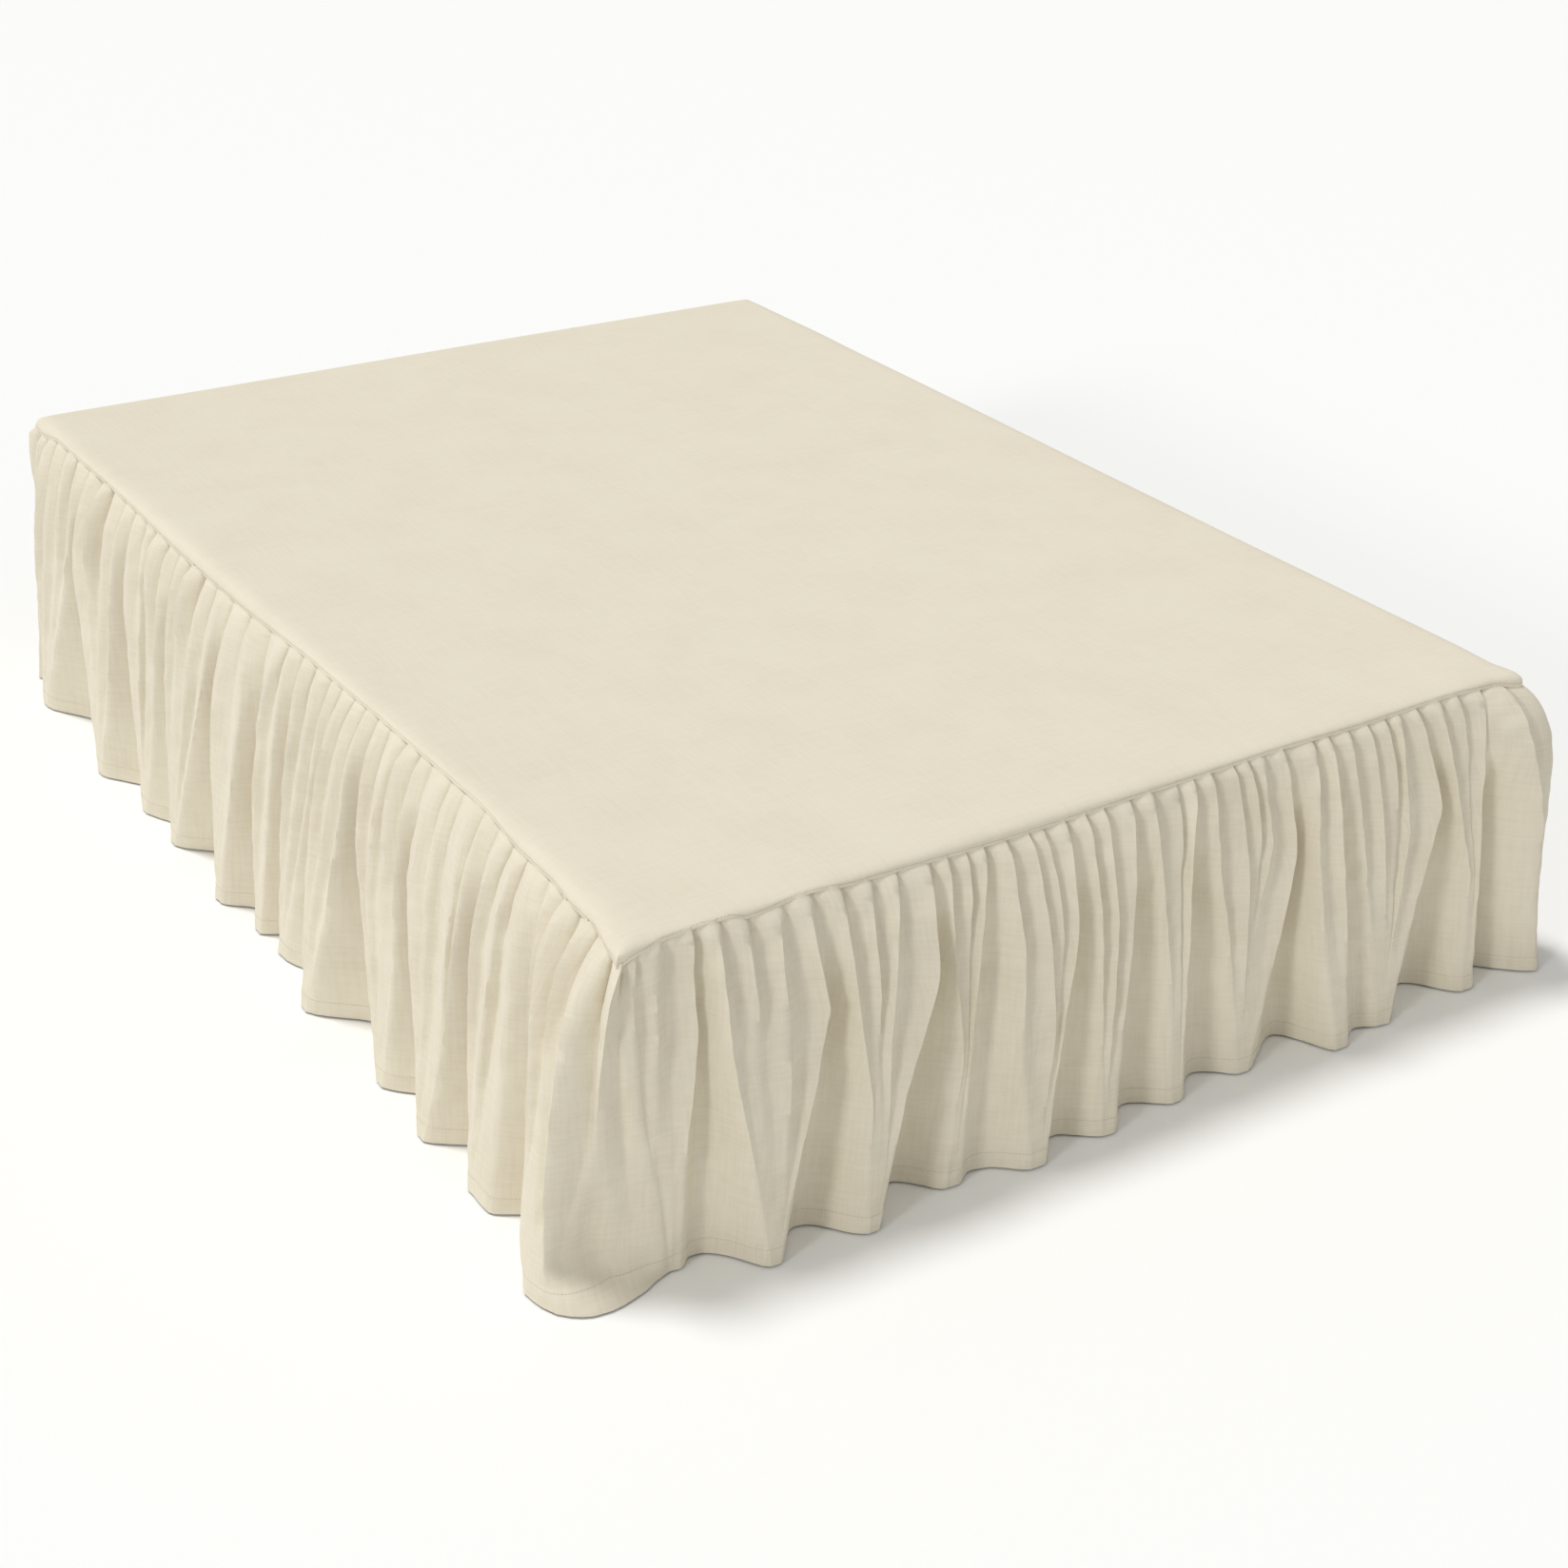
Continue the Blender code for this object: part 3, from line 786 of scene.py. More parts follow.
@dataclass(frozen=True)
class Unevenness:
    """What keeps the cloth from lying dead flat.

    Attributes:
        ripple: height of the slow ripples.
        ripple_waves: how many waves they are made of.
        ripple_turn: the most that a wave's phase turns in a metre along x, y and z, in radians.
        ripple_share: the share of the height over which the ripples grow.
        ripple_scale: how many of the waves' heights make up one ripple's.
        crumple: height of the fine unevenness of washed cotton.
        crumple_waves: how many waves it is made of.
        crumple_lengths: the shortest and longest of those waves.
        crumple_height_share: how much those waves change with height, against across.
    """

    ripple: float = 0.0012
    ripple_waves: int = 10
    ripple_turn: tuple[float, float, float] = (55.0, 55.0, 16.0)
    ripple_share: float = 0.3
    ripple_scale: float = 3.0
    crumple: float = 0.00016
    crumple_waves: int = 18
    crumple_lengths: tuple[float, float] = (0.016, 0.045)
    crumple_height_share: float = 0.5


@dataclass(frozen=True)
class DropShape:
    """Works out the drop's surface from its seam, folds, gathers and creases.

    Every column of the cloth starts at a gather's crest or valley, or between two of them, and
    follows the lines of the hollows and creases beside it down to the hem.

    Attributes:
        outline: the deck's outline.
        seam: the seam line.
        plan: how folds and gathers lie.
        gather: the small gathers' form.
        hollow: the hollows' form.
        uneven: the ripples and crumpling.
        hem_clearance: gap between hem and floor.
        balloon_share: share of the drop over which ballooning folds fill.
        end_balloon: the balloon at the drop's first end.
        corner_start: how far before a foot corner the foot's kind of gather begins to come in.
        corner_run: the distance over which it does.
        hem_margin: how far the hem's reach is worked out past the drop's ends.
        reach_step: spacing of the stations at which it is worked out.
        tuck: shares of the height and how far the drop is tucked in there, behind the seam.
        turn_share: the share over which the cloth leaves the bed's corners for wide turns.
        seed: seed of the gathers' lengths and heights and, one up, of the unevenness.
    """

    outline: BedOutline
    seam: SeamLine
    plan: FoldPlan
    gather: GatherForm = GatherForm()
    hollow: HollowForm = HollowForm()
    uneven: Unevenness = Unevenness()
    hem_clearance: float = 0.003
    balloon_share: float = 0.11
    end_balloon: float = 0.35
    corner_start: float = 0.05
    corner_run: float = 0.1
    hem_margin: float = 0.02
    reach_step: float = 0.002
    tuck: tuple[tuple[float, ...], tuple[float, ...]] = ((-0.01, 0.0, 0.014), (0.0036, 0.0018, 0.0))
    turn_share: float = 0.8
    seed: int = 5

    def on_foot(self, station: np.ndarray) -> np.ndarray:
        """How much a station belongs to the foot, from 0 to 1, soft at the corners."""
        start, run = self.corner_start, self.corner_run
        return blend((station + start) / run) * (1 - blend((station - self.outline.width) / run))

    def steep_border(self, fold: Fold) -> Steep:
        """The steep border of the hollow after a fold: the near one on the foot only."""
        return Steep.NEAR if self.on_foot(np.array(fold.valley_seam)) > 0.5 else Steep.FAR

    def hollow_nodes(self) -> list[int]:
        """Number of the gather valley that each main fold's hollow grows from."""
        seams = np.array([g.seam for g in self.plan.gathers()])
        return [int(np.argmin(np.abs(seams - fold.valley_seam))) for fold in self.plan.folds()]

    def hollow_lines(self, share: np.ndarray) -> tuple[np.ndarray, np.ndarray, np.ndarray]:
        """Where every hollow runs.

        Args:
            share: shares of the height, one for each row.

        Returns:
            Stations of the near borders, the floors and the far borders, each hollows by rows.
        """
        folds, gathers = self.plan.folds(), self.plan.gathers()
        knots = self.hollow.knots
        near_lines, floor_lines, far_lines = [], [], []
        for number, (fold, node) in enumerate(zip(folds, self.hollow_nodes())):
            last = number + 1 >= len(folds)
            next_hem = fold.valley_hem + self.hollow.last_run if last else folds[number + 1].crest_hem
            foot = self.steep_border(fold) is Steep.NEAR
            ends = gathers[node - 1].seam, gathers[min(node + 1, len(gathers) - 1)].seam
            middle = mix(fold.valley_seam, fold.valley_hem, blend(np.array(knots[1:3])))
            before, after = fold.valley_hem - fold.crest_hem, next_hem - fold.valley_hem
            edges = (self.hollow.edge_gap, self.hollow.slow_edge_gap)
            edges = edges if foot else edges[::-1]
            near = fold.near or (middle[0] - self.hollow.width,
                                 middle[1] - self.hollow.reach * before,
                                 fold.crest_hem + edges[0])
            far = fold.far or (middle[0] + self.hollow.width,
                               middle[1] + self.hollow.reach * after, next_hem - edges[1])
            deep = self.hollow.foot_floor if foot else self.hollow.side_floor
            near_lines.append(np.interp(share, knots, (ends[0], *near)))
            floor_lines.append(np.interp(share, knots, (
                fold.valley_seam, mix(near[0], far[0], deep[0]), mix(near[1], far[1], deep[1]),
                fold.valley_hem)))
            far_lines.append(np.interp(share, knots, (ends[1], *far)))
        return np.array(near_lines), np.array(floor_lines), np.array(far_lines)

    def node_lines(self, share: np.ndarray) -> tuple[np.ndarray, ...]:
        """Where each gather's crest or valley runs, and how long and high its ridge is.

        Args:
            share: shares of the height, one for each row.

        Returns:
            The nodes' stations, nodes by rows; the shares at which each ridge starts to die out
            and has died out; its height.
        """
        gathers = self.plan.gathers()
        count = len(gathers)
        rng = np.random.default_rng(self.seed)
        seams = np.array([g.seam for g in gathers])
        sides = np.array([g.side for g in gathers])
        starts, ends = rng.uniform(*self.gather.starts, count), rng.uniform(*self.gather.ends, count)
        ends = mix(ends, self.gather.foot_end + self.gather.foot_end_scale * (ends - self.gather.ends[0]),
                   self.on_foot(seams))
        heights = rng.uniform(*self.gather.heights, count) * mix(
            self.gather.side_depth, self.gather.depth, self.on_foot(seams))
        wander = rng.uniform(0, 2 * math.pi, count)
        near, floor, far = self.hollow_lines(share)
        guides = {0: np.full(len(share), seams[0]),
                  count - 1: np.full(len(share), seams[-1])}
        for number, node in enumerate(self.hollow_nodes()):
            guides[node - 1] = near[number]
            guides[node] = floor[number]
            if node + 1 < count:
                guides[node + 1] = far[number]
            for border, run in ((node - 1, self.gather.near_run), (node + 1, self.gather.far_run)):
                if border < count:
                    heights[border] = self.gather.border_depth
                    starts[border], ends[border] = run
        fixed = sorted(guides)
        plain = np.stack([
            np.interp(seams, seams[fixed], [guides[node][row] for node in fixed])
            for row in range(len(share))], axis=1)
        for crease in self.plan.creases():
            node = int(np.argmin(np.abs(seams - crease.seam) + (sides < 0)))
            heights[node] = 2 * crease.rise_mm * MM
            starts[node], ends[node] = self.gather.crease_start * crease.end_share, crease.end_share
            if node in guides:
                continue
            line = np.interp(share, (0.0, crease.kink_share, crease.end_share),
                             (seams[node], crease.kink, crease.end))
            at_end = np.interp(crease.end_share, share, plain[node])
            off = np.where(share <= crease.end_share, line - plain[node], crease.end - at_end)
            off = off * (1 - blend((share - crease.end_share)
                                   / (self.gather.crease_return - crease.end_share)))
            guides[node] = plain[node] + off
        fixed = sorted(guides)
        lines = np.array([guides[node] for node in fixed])
        lines = self.spread(lines, np.diff(fixed) * self.gather.guide_gap)
        nodes = np.stack([np.interp(seams, seams[fixed], lines[:, row])
                          for row in range(len(share))], axis=1)
        foot = self.on_foot(seams)
        loss = blend((share - self.gather.lean_loss_start) / self.gather.lean_loss_run)
        kept = 1 - self.gather.lean_loss * loss
        leaning = mix(-self.gather.side_lean, self.gather.lean, foot)[:, None] * kept[None]
        leaning = leaning * sides[:, None]
        guided = [node for node in fixed if sides[node] > 0]
        leaning[guided] *= (1 - blend(share / self.gather.guided_share))[None]
        sway = (self.gather.sway * np.sin(wander[:, None] + self.gather.sway_turn * share[None])
                * blend(share / self.gather.sway_share)[None])
        nodes = nodes + leaning + sway
        side_rows = len(LINE_WEIGHTS) // 2
        padded = np.pad(nodes, ((0, 0), (side_rows, side_rows)), mode="edge")
        nodes = sum(weight * padded[:, at:at + len(share)] for at, weight in enumerate(LINE_WEIGHTS))
        return self.spread(nodes, np.full(count - 1, self.gather.line_gap)), starts, ends, heights

    @staticmethod
    def spread(lines: np.ndarray, least: np.ndarray) -> np.ndarray:
        """Push lines apart where they would cross.

        Args:
            lines: stations, lines by rows, in order.
            least: the smallest distance from each line to the next.

        Returns:
            The lines, nowhere closer than that.
        """
        up, down = lines.copy(), lines.copy()
        for at in range(1, len(lines)):
            up[at] = np.maximum(up[at], up[at - 1] + least[at - 1])
        for at in range(len(lines) - 2, -1, -1):
            down[at] = np.minimum(down[at], down[at + 1] - least[at])
        return (up + down) / 2

    def reach(self, hem: np.ndarray) -> tuple[np.ndarray, np.ndarray]:
        """How far the folds stand out.

        Args:
            hem: hem stations, one for each column.

        Returns:
            Each column's reach at the hem, and its balloon.
        """
        near, _, far = self.hollow_lines(np.array([1.0]))
        rows = [(self.plan.gathers()[0].seam, self.plan.return_end_out, self.end_balloon)]
        for number, fold in enumerate(self.plan.folds()):
            start = far[number - 1, 0] if number else fold.crest_hem - self.hem_margin
            rows.append((start, fold.crest_out, fold.balloon))
            rows.extend((at, out, fold.balloon) for at, out in fold.rim)
            if not fold.rim:
                rows.extend((at, fold.crest_out, fold.balloon)
                            for at in (fold.crest_hem, near[number, 0]))
        rows.sort()
        stations, *tables = zip(*rows)
        grid = np.arange(stations[0] - self.hem_margin, stations[-1] + self.hem_margin,
                         self.reach_step)
        padded = [np.pad(soft_interp(grid, stations, table), REACH_WINDOW // 2, mode="edge")
                  for table in tables]
        window = np.full(REACH_WINDOW, 1 / REACH_WINDOW)
        smooth = [np.convolve(table, window, mode="valid") for table in padded]
        return np.interp(hem, grid, smooth[0]), np.interp(hem, grid, smooth[1])

    def hollows(self, where: np.ndarray, share: np.ndarray) -> tuple[np.ndarray, np.ndarray]:
        """How deep in a hollow each point lies, and how far that hollow's floor stands out.

        On the foot a hollow falls steeply from its near border and rises slowly to its far one;
        along the sides it falls slowly and rises steeply.

        Args:
            where: a grid of stations, columns by rows.
            share: shares of the height, one for each row.

        Returns:
            Depth from 0 on a fold to 1 on a hollow's floor, and the floor's distance out.
        """
        near, floor, far = self.hollow_lines(share)
        depth, level = np.zeros_like(where), np.zeros_like(where)
        sharp, soft = mix(*self.hollow.steep_powers, blend(share)), mix(*self.hollow.soft_powers, share)
        for fold, low, deep, high in zip(self.plan.folds(), near, floor, far):
            foot = self.steep_border(fold) is Steep.NEAR
            before = np.clip((where - low) / np.maximum(deep - low, 1e-4), 0, 1)
            after = np.clip((high - where) / np.maximum(high - deep, 1e-4), 0, 1)
            powers = (sharp, soft) if foot else (soft, sharp)
            fall = np.sin(math.pi / 2 * before) ** powers[0]
            climb = np.sin(math.pi / 2 * after) ** powers[1]
            inside = (where > low) & (where < high)
            level = np.where(inside, fold.valley_out, level)
            depth = np.where(inside, np.where(where < deep, fall, climb), depth)
        return depth, level

    def ridges(self, seam: np.ndarray, share: np.ndarray, starts: np.ndarray, ends: np.ndarray,
               heights: np.ndarray) -> np.ndarray:
        """Height of the small gathers, columns by rows.

        Args:
            seam: seam stations, one for each column.
            share: shares of the height, one for each row.
            starts: the share at which each ridge starts to die out.
            ends: the share at which each ridge has died out.
            heights: each ridge's full height.

        Returns:
            Heights over the fold that carries the gathers.
        """
        gathers = self.plan.gathers()
        seams = np.array([g.seam for g in gathers])
        sides = np.array([g.side for g in gathers])
        place = np.interp(seam, seams, np.arange(len(seams)))
        node = np.clip(place.astype(int), 0, len(seams) - 2)
        part = (place - node)[:, None]
        rising = (sides[node] < 0)[:, None]
        crest = np.where(sides[node] < 0, node + 1, node)
        grow = mix(self.gather.seam_height, 1.0, blend(share / self.gather.full_height_share))
        fade = 1 - blend((share[None] - starts[:, None]) / np.maximum(ends - starts, 0.05)[:, None])
        high = heights[:, None] * grow[None] * fade
        up = np.where(rising, part, 1 - part)
        foot = self.on_foot(seam)[:, None]
        puffy = mix(up ** self.gather.slit_power, np.sin(math.pi / 2 * up), foot)
        crisp = blend((share[None] - self.gather.crisp_start * (1 - foot))
                      / mix(self.gather.side_crisp_run, self.gather.foot_crisp_run, foot))
        profile = mix(puffy, mix(blend(up), up ** self.gather.foot_crest_power, foot), crisp)
        crests = np.flatnonzero(sides > 0)
        mean = np.stack([np.interp(seam, seams[crests], high[crests, row])
                         for row in range(len(share))], axis=1)
        return high[crest] * profile - mix(self.gather.side_valley, self.gather.foot_valley, foot) * mean

    def unevenness(self, points: np.ndarray, share: np.ndarray) -> np.ndarray:
        """Slow ripples and fine crumpling.

        Args:
            points: a grid of points, columns by rows by x, y and z.
            share: shares of the height, one for each row.

        Returns:
            Heights over the smooth cloth, columns by rows.
        """
        rng = np.random.default_rng(self.seed + 1)
        slow, fine = np.zeros(points.shape[:2]), np.zeros(points.shape[:2])
        for _ in range(self.uneven.ripple_waves):
            way = rng.uniform(-np.array(self.uneven.ripple_turn), self.uneven.ripple_turn)
            slow += np.sin(points @ way + rng.uniform(0, 2 * math.pi)) / self.uneven.ripple_scale
        for _ in range(self.uneven.crumple_waves):
            way = rng.normal(size=3) * (1.0, 1.0, self.uneven.crumple_height_share)
            way *= 2 * math.pi / rng.uniform(*self.uneven.crumple_lengths) / np.linalg.norm(way)
            fine += np.sin(points @ way + rng.uniform(0, 2 * math.pi))
        ripples = self.uneven.ripple * slow * blend(share / self.uneven.ripple_share)[None]
        return ripples + self.uneven.crumple * fine

    def surface(self, seam: np.ndarray, share: np.ndarray) -> np.ndarray:
        """The drop's outer face.

        Args:
            seam: seam stations, one for each column.
            share: shares of the height, one for each row; a row above the seam has one below 0.

        Returns:
            A grid of points, columns by rows by x, y and z.
        """
        seams = np.array([g.seam for g in self.plan.gathers()])
        down = np.clip(share, 0, 1)
        nodes, starts, ends, heights = self.node_lines(down)
        where = np.stack([np.interp(seam, seams, nodes[:, row]) for row in range(len(down))], 1)
        start_out, top = self.seam.at(where[:, 0])
        depth, floor = self.hollows(where, down)

        reach, balloon = (values[:, None] for values in self.reach(where[:, -1]))
        rise = mix(down[None], 1 - np.exp(-down[None] / self.balloon_share), balloon)
        opening = blend((down - self.hollow.start) / self.hollow.opening)[None]
        out = mix(start_out[:, None], reach, rise) - depth * opening * rise * (reach - floor)
        out = out + self.ridges(seam, down, starts, ends, heights)
        out = out - np.interp(share, *self.tuck)[None]

        place, way = self.outline.at(where, self.seam.turn_radius)
        rim, _ = self.seam.rim(where)
        place = mix(rim, place, blend(down / self.turn_share)[None, :, None])
        level = mix(top[:, None], self.hem_clearance, share[None])
        flat = place + way * out[..., None]
        points = np.concatenate((flat, level[..., None]), axis=-1)
        points[..., :2] += way * self.unevenness(points, down)[..., None]
        return points


# ---------------------------------------------------------------- finishes

@dataclass(frozen=True)
class WovenCotton:
    """Plain woven cotton canvas, washed and lightly pressed.

    The eye gets a matte cream face with a soft bloom at its edges, faint thicker threads along and
    across, and a fine grain. Its threads are 0.6 mm apart, too fine to show from across a room, so
    the grain is drawn at grain_mm.
    """

    name: str
    colour: str
    slub_colour: str
    roughness: float = 0.88
    roughness_spread: float = 0.05
    ior: float = 1.53
    sheen: float = 0.12
    sheen_roughness: float = 0.45
    grain_mm: float = 2.2
    slub_mm: float = 5.0
    slub_length_mm: float = 70.0
    slub_share: float = 0.30
    mottle_mm: float = 120.0
    grain_height_mm: float = 0.16

    def build(self) -> Any:
        """Make the material.

        Returns:
            The material.
        """
        slot, tree, shader = new_material(self.name)
        shader.inputs["IOR"].default_value = self.ior
        shader.inputs["Sheen Weight"].default_value = self.sheen
        shader.inputs["Sheen Roughness"].default_value = self.sheen_roughness
        flat = add_node(tree, "ShaderNodeUVMap", {"uv_map": "cloth"}).outputs["UV"]
        slub, length = 1 / (self.slub_mm * MM), 1 / (self.slub_length_mm * MM)
        threads = []
        for scale in ((slub, length, 1.0), (length, slub, 1.0)):
            place = add_node(tree, "ShaderNodeMapping", inputs={"Vector": flat, "Scale": scale})
            threads.append(add_node(
                tree, "ShaderNodeTexNoise", {"noise_dimensions": "2D"},
                {"Vector": place.outputs["Vector"], "Scale": 1.0, "Detail": 3.0, "Roughness": 0.6},
            ).outputs["Fac"])
        both = add_node(tree, "ShaderNodeMath", {"operation": "ADD"}, {0: threads[0], 1: threads[1]})
        slubs = add_node(tree, "ShaderNodeMapRange", inputs={
            "Value": both.outputs["Value"], "From Min": 0.75, "From Max": 1.3, "To Min": 0.0,
            "To Max": self.slub_share,
        })
        mottle = add_node(tree, "ShaderNodeTexNoise", {"noise_dimensions": "2D"}, {
            "Vector": flat, "Scale": 1 / (self.mottle_mm * MM), "Detail": 4.0,
        })
        patch = add_node(tree, "ShaderNodeMapRange", inputs={
            "Value": mottle.outputs["Fac"], "From Min": 0.3, "From Max": 0.7, "To Min": -0.12,
            "To Max": 0.12,
        })
        share = add_node(tree, "ShaderNodeMath", {"operation": "ADD", "use_clamp": True}, {
            0: slubs.outputs["Result"], 1: patch.outputs["Result"],
        })
        tint = add_node(tree, "ShaderNodeMix", {"data_type": "RGBA"}, {
            "Factor": share.outputs["Value"], "A": linear_colour(self.colour),
            "B": linear_colour(self.slub_colour),
        })
        tree.links.new(tint.outputs["Result"], shader.inputs["Base Color"])
        rough = add_node(tree, "ShaderNodeMapRange", inputs={
            "Value": both.outputs["Value"], "From Min": 0.75, "From Max": 1.3,
            "To Min": self.roughness - self.roughness_spread,
            "To Max": self.roughness + self.roughness_spread,
        })
        tree.links.new(rough.outputs["Result"], shader.inputs["Roughness"])
        grain = add_node(tree, "ShaderNodeTexNoise", {"noise_dimensions": "2D"}, {
            "Vector": flat, "Scale": 1 / (self.grain_mm * MM), "Detail": 2.0, "Roughness": 0.55,
        })
        relief = add_node(tree, "ShaderNodeMath", {"operation": "MULTIPLY_ADD"}, {
            0: both.outputs["Value"], 1: 0.9, 2: grain.outputs["Fac"],
        })
        bump = add_node(tree, "ShaderNodeBump", inputs={
            "Strength": 1.0, "Distance": self.grain_height_mm * MM,
            "Height": relief.outputs["Value"],
        })
        tree.links.new(bump.outputs["Normal"], shader.inputs["Normal"])
        return slot


@dataclass(frozen=True)
class CottonThread:
    """Two-ply cotton sewing thread in the cloth's own shade.

    The eye gets a fine broken line, a little darker than the cloth, that catches the light. Its
    plies turn every 0.8 mm and are drawn at twist_mm.
    """

    name: str = "cotton_thread_two_ply"
    colour: str = "cbc1a9"
    shade: str = "b9ae94"
    roughness: float = 0.62
    roughness_spread: float = 0.08
    sheen: float = 0.25
    twist_mm: float = 1.1

    def build(self) -> Any:
        """Make the material.

        Returns:
            The material.
        """
        slot, tree, shader = new_material(self.name)
        shader.inputs["Sheen Weight"].default_value = self.sheen
        where = add_node(tree, "ShaderNodeTexCoord").outputs["Object"]
        plies = add_node(tree, "ShaderNodeTexNoise", inputs={
            "Vector": where, "Scale": 1 / (self.twist_mm * MM), "Detail": 1.0})
        rough = add_node(tree, "ShaderNodeMapRange", inputs={
            "Value": plies.outputs["Fac"], "To Min": self.roughness - self.roughness_spread,
            "To Max": self.roughness + self.roughness_spread})
        tree.links.new(rough.outputs["Result"], shader.inputs["Roughness"])
        tint = add_node(tree, "ShaderNodeMix", {"data_type": "RGBA"}, {
            "Factor": plies.outputs["Fac"], "A": linear_colour(self.colour),
            "B": linear_colour(self.shade)})
        tree.links.new(tint.outputs["Result"], shader.inputs["Base Color"])
        bump = add_node(tree, "ShaderNodeBump", inputs={
            "Strength": 0.8, "Distance": 0.15 * MM, "Height": plies.outputs["Fac"]})
        tree.links.new(bump.outputs["Normal"], shader.inputs["Normal"])
        return slot


@dataclass(frozen=True)
class WovenTicking:
    """Plain woven ticking stapled over a box foundation.

    The eye gets a flat, slightly cooler off-white than the skirt's, with a small regular weave,
    faint slubs and a tone that grows darker towards its lower edge: lower_edge_share of
    lower_edge_colour at lower_edge_mm over the floor, gone lower_edge_fade_mm higher. Its threads
    are 0.7 mm apart and are drawn at weave_mm.
    """

    name: str = "base_ticking_woven"
    colour: str = "dedbd2"
    slub_colour: str = "cfcabd"
    lower_edge_colour: str = "c3bdb0"
    roughness: float = 0.92
    roughness_spread: float = 0.04
    sheen: float = 0.08
    weave_mm: float = 2.6
    slub_mm: float = 9.0
    lower_edge_mm: float = 160.0
    lower_edge_fade_mm: float = 120.0
    lower_edge_share: float = 0.5

    def build(self) -> Any:
        """Make the material.

        Returns:
            The material.
        """
        slot, tree, shader = new_material(self.name)
        shader.inputs["Sheen Weight"].default_value = self.sheen
        where = add_node(tree, "ShaderNodeTexCoord").outputs["Object"]
        height: Any = 0.0
        for way in ("X", "Y", "Z"):
            threads = add_node(tree, "ShaderNodeTexWave", {"bands_direction": way}, {
                "Vector": where, "Scale": math.pi / 10 / (self.weave_mm * MM), "Distortion": 0.6,
                "Detail": 1.0, "Detail Scale": 2.0})
            height = add_node(tree, "ShaderNodeMath", {"operation": "ADD"}, {
                0: threads.outputs["Fac"], 1: height}).outputs["Value"]
        slubs = add_node(tree, "ShaderNodeTexNoise", inputs={
            "Vector": where, "Scale": 1 / (self.slub_mm * MM), "Detail": 3.0})
        rough = add_node(tree, "ShaderNodeMapRange", inputs={
            "Value": slubs.outputs["Fac"], "To Min": self.roughness - self.roughness_spread,
            "To Max": self.roughness + self.roughness_spread})
        tree.links.new(rough.outputs["Result"], shader.inputs["Roughness"])
        tint = add_node(tree, "ShaderNodeMix", {"data_type": "RGBA"}, {
            "Factor": slubs.outputs["Fac"], "A": linear_colour(self.colour),
            "B": linear_colour(self.slub_colour)})
        level = add_node(tree, "ShaderNodeSeparateXYZ", inputs={
            "Vector": add_node(tree, "ShaderNodeNewGeometry").outputs["Position"]})
        # The tone darkens towards the base's lower edge and fades out higher up.
        lower_edge_darkening = add_node(tree, "ShaderNodeMapRange", inputs={
            "Value": level.outputs["Z"], "From Min": self.lower_edge_mm * MM,
            "From Max": (self.lower_edge_mm + self.lower_edge_fade_mm) * MM, "To Min": self.lower_edge_share,
            "To Max": 0.0})
        darkened = add_node(tree, "ShaderNodeMix", {"data_type": "RGBA"}, {
            "Factor": lower_edge_darkening.outputs["Result"], "A": tint.outputs["Result"],
            "B": linear_colour(self.lower_edge_colour)})
        tree.links.new(darkened.outputs["Result"], shader.inputs["Base Color"])
        bump = add_node(tree, "ShaderNodeBump", inputs={
            "Strength": 0.7, "Distance": 0.2 * MM, "Height": height})
        tree.links.new(bump.outputs["Normal"], shader.inputs["Normal"])
        return slot


@dataclass(frozen=True)
class VarnishedBeech:
    """Turned beech legs under a satin varnish.

    The eye gets warm straight grain running down the leg, short dark flecks and a soft highlight.
    """

    name: str = "beech_turned_varnished"
    colour: str = "b98a5c"
    grain_colour: str = "93643a"
    fleck_colour: str = "7c522d"
    roughness: float = 0.42
    roughness_spread: float = 0.08
    coat: float = 0.35
    coat_roughness: float = 0.22
    grain_mm: float = 3.0
    grain_length_mm: float = 60.0
    fleck_mm: float = 1.4
    fleck_length_mm: float = 8.0

    def build(self) -> Any:
        """Make the material.

        Returns:
            The material.
        """
        slot, tree, shader = new_material(self.name)
        shader.inputs["Coat Weight"].default_value = self.coat
        shader.inputs["Coat Roughness"].default_value = self.coat_roughness
        where = add_node(tree, "ShaderNodeTexCoord").outputs["Object"]
        layers = []
        for across, along, detail in ((self.grain_mm, self.grain_length_mm, 4.0),
                                      (self.fleck_mm, self.fleck_length_mm, 1.0)):
            scale = (1 / (across * MM), 1 / (across * MM), 1 / (along * MM))
            place = add_node(tree, "ShaderNodeMapping", inputs={"Vector": where, "Scale": scale})
            layers.append(add_node(tree, "ShaderNodeTexNoise", inputs={
                "Vector": place.outputs["Vector"], "Scale": 1.0, "Detail": detail}).outputs["Fac"])
        grain = add_node(tree, "ShaderNodeMapRange", inputs={
            "Value": layers[0], "From Min": 0.35, "From Max": 0.65})
        wood = add_node(tree, "ShaderNodeMix", {"data_type": "RGBA"}, {
            "Factor": grain.outputs["Result"], "A": linear_colour(self.colour),
            "B": linear_colour(self.grain_colour)})
        flecks = add_node(tree, "ShaderNodeMapRange", inputs={
            "Value": layers[1], "From Min": 0.66, "From Max": 0.72, "To Max": 0.7})
        flecked = add_node(tree, "ShaderNodeMix", {"data_type": "RGBA"}, {
            "Factor": flecks.outputs["Result"], "A": wood.outputs["Result"],
            "B": linear_colour(self.fleck_colour)})
        tree.links.new(flecked.outputs["Result"], shader.inputs["Base Color"])
        gloss = add_node(tree, "ShaderNodeMapRange", inputs={
            "Value": layers[0], "To Min": self.roughness - self.roughness_spread,
            "To Max": self.roughness + self.roughness_spread})
        tree.links.new(gloss.outputs["Result"], shader.inputs["Roughness"])
        bump = add_node(tree, "ShaderNodeBump", inputs={
            "Strength": 0.4, "Distance": 0.08 * MM, "Height": layers[0]})
        tree.links.new(bump.outputs["Normal"], shader.inputs["Normal"])
        return slot


# ---------------------------------------------------------------- pieces

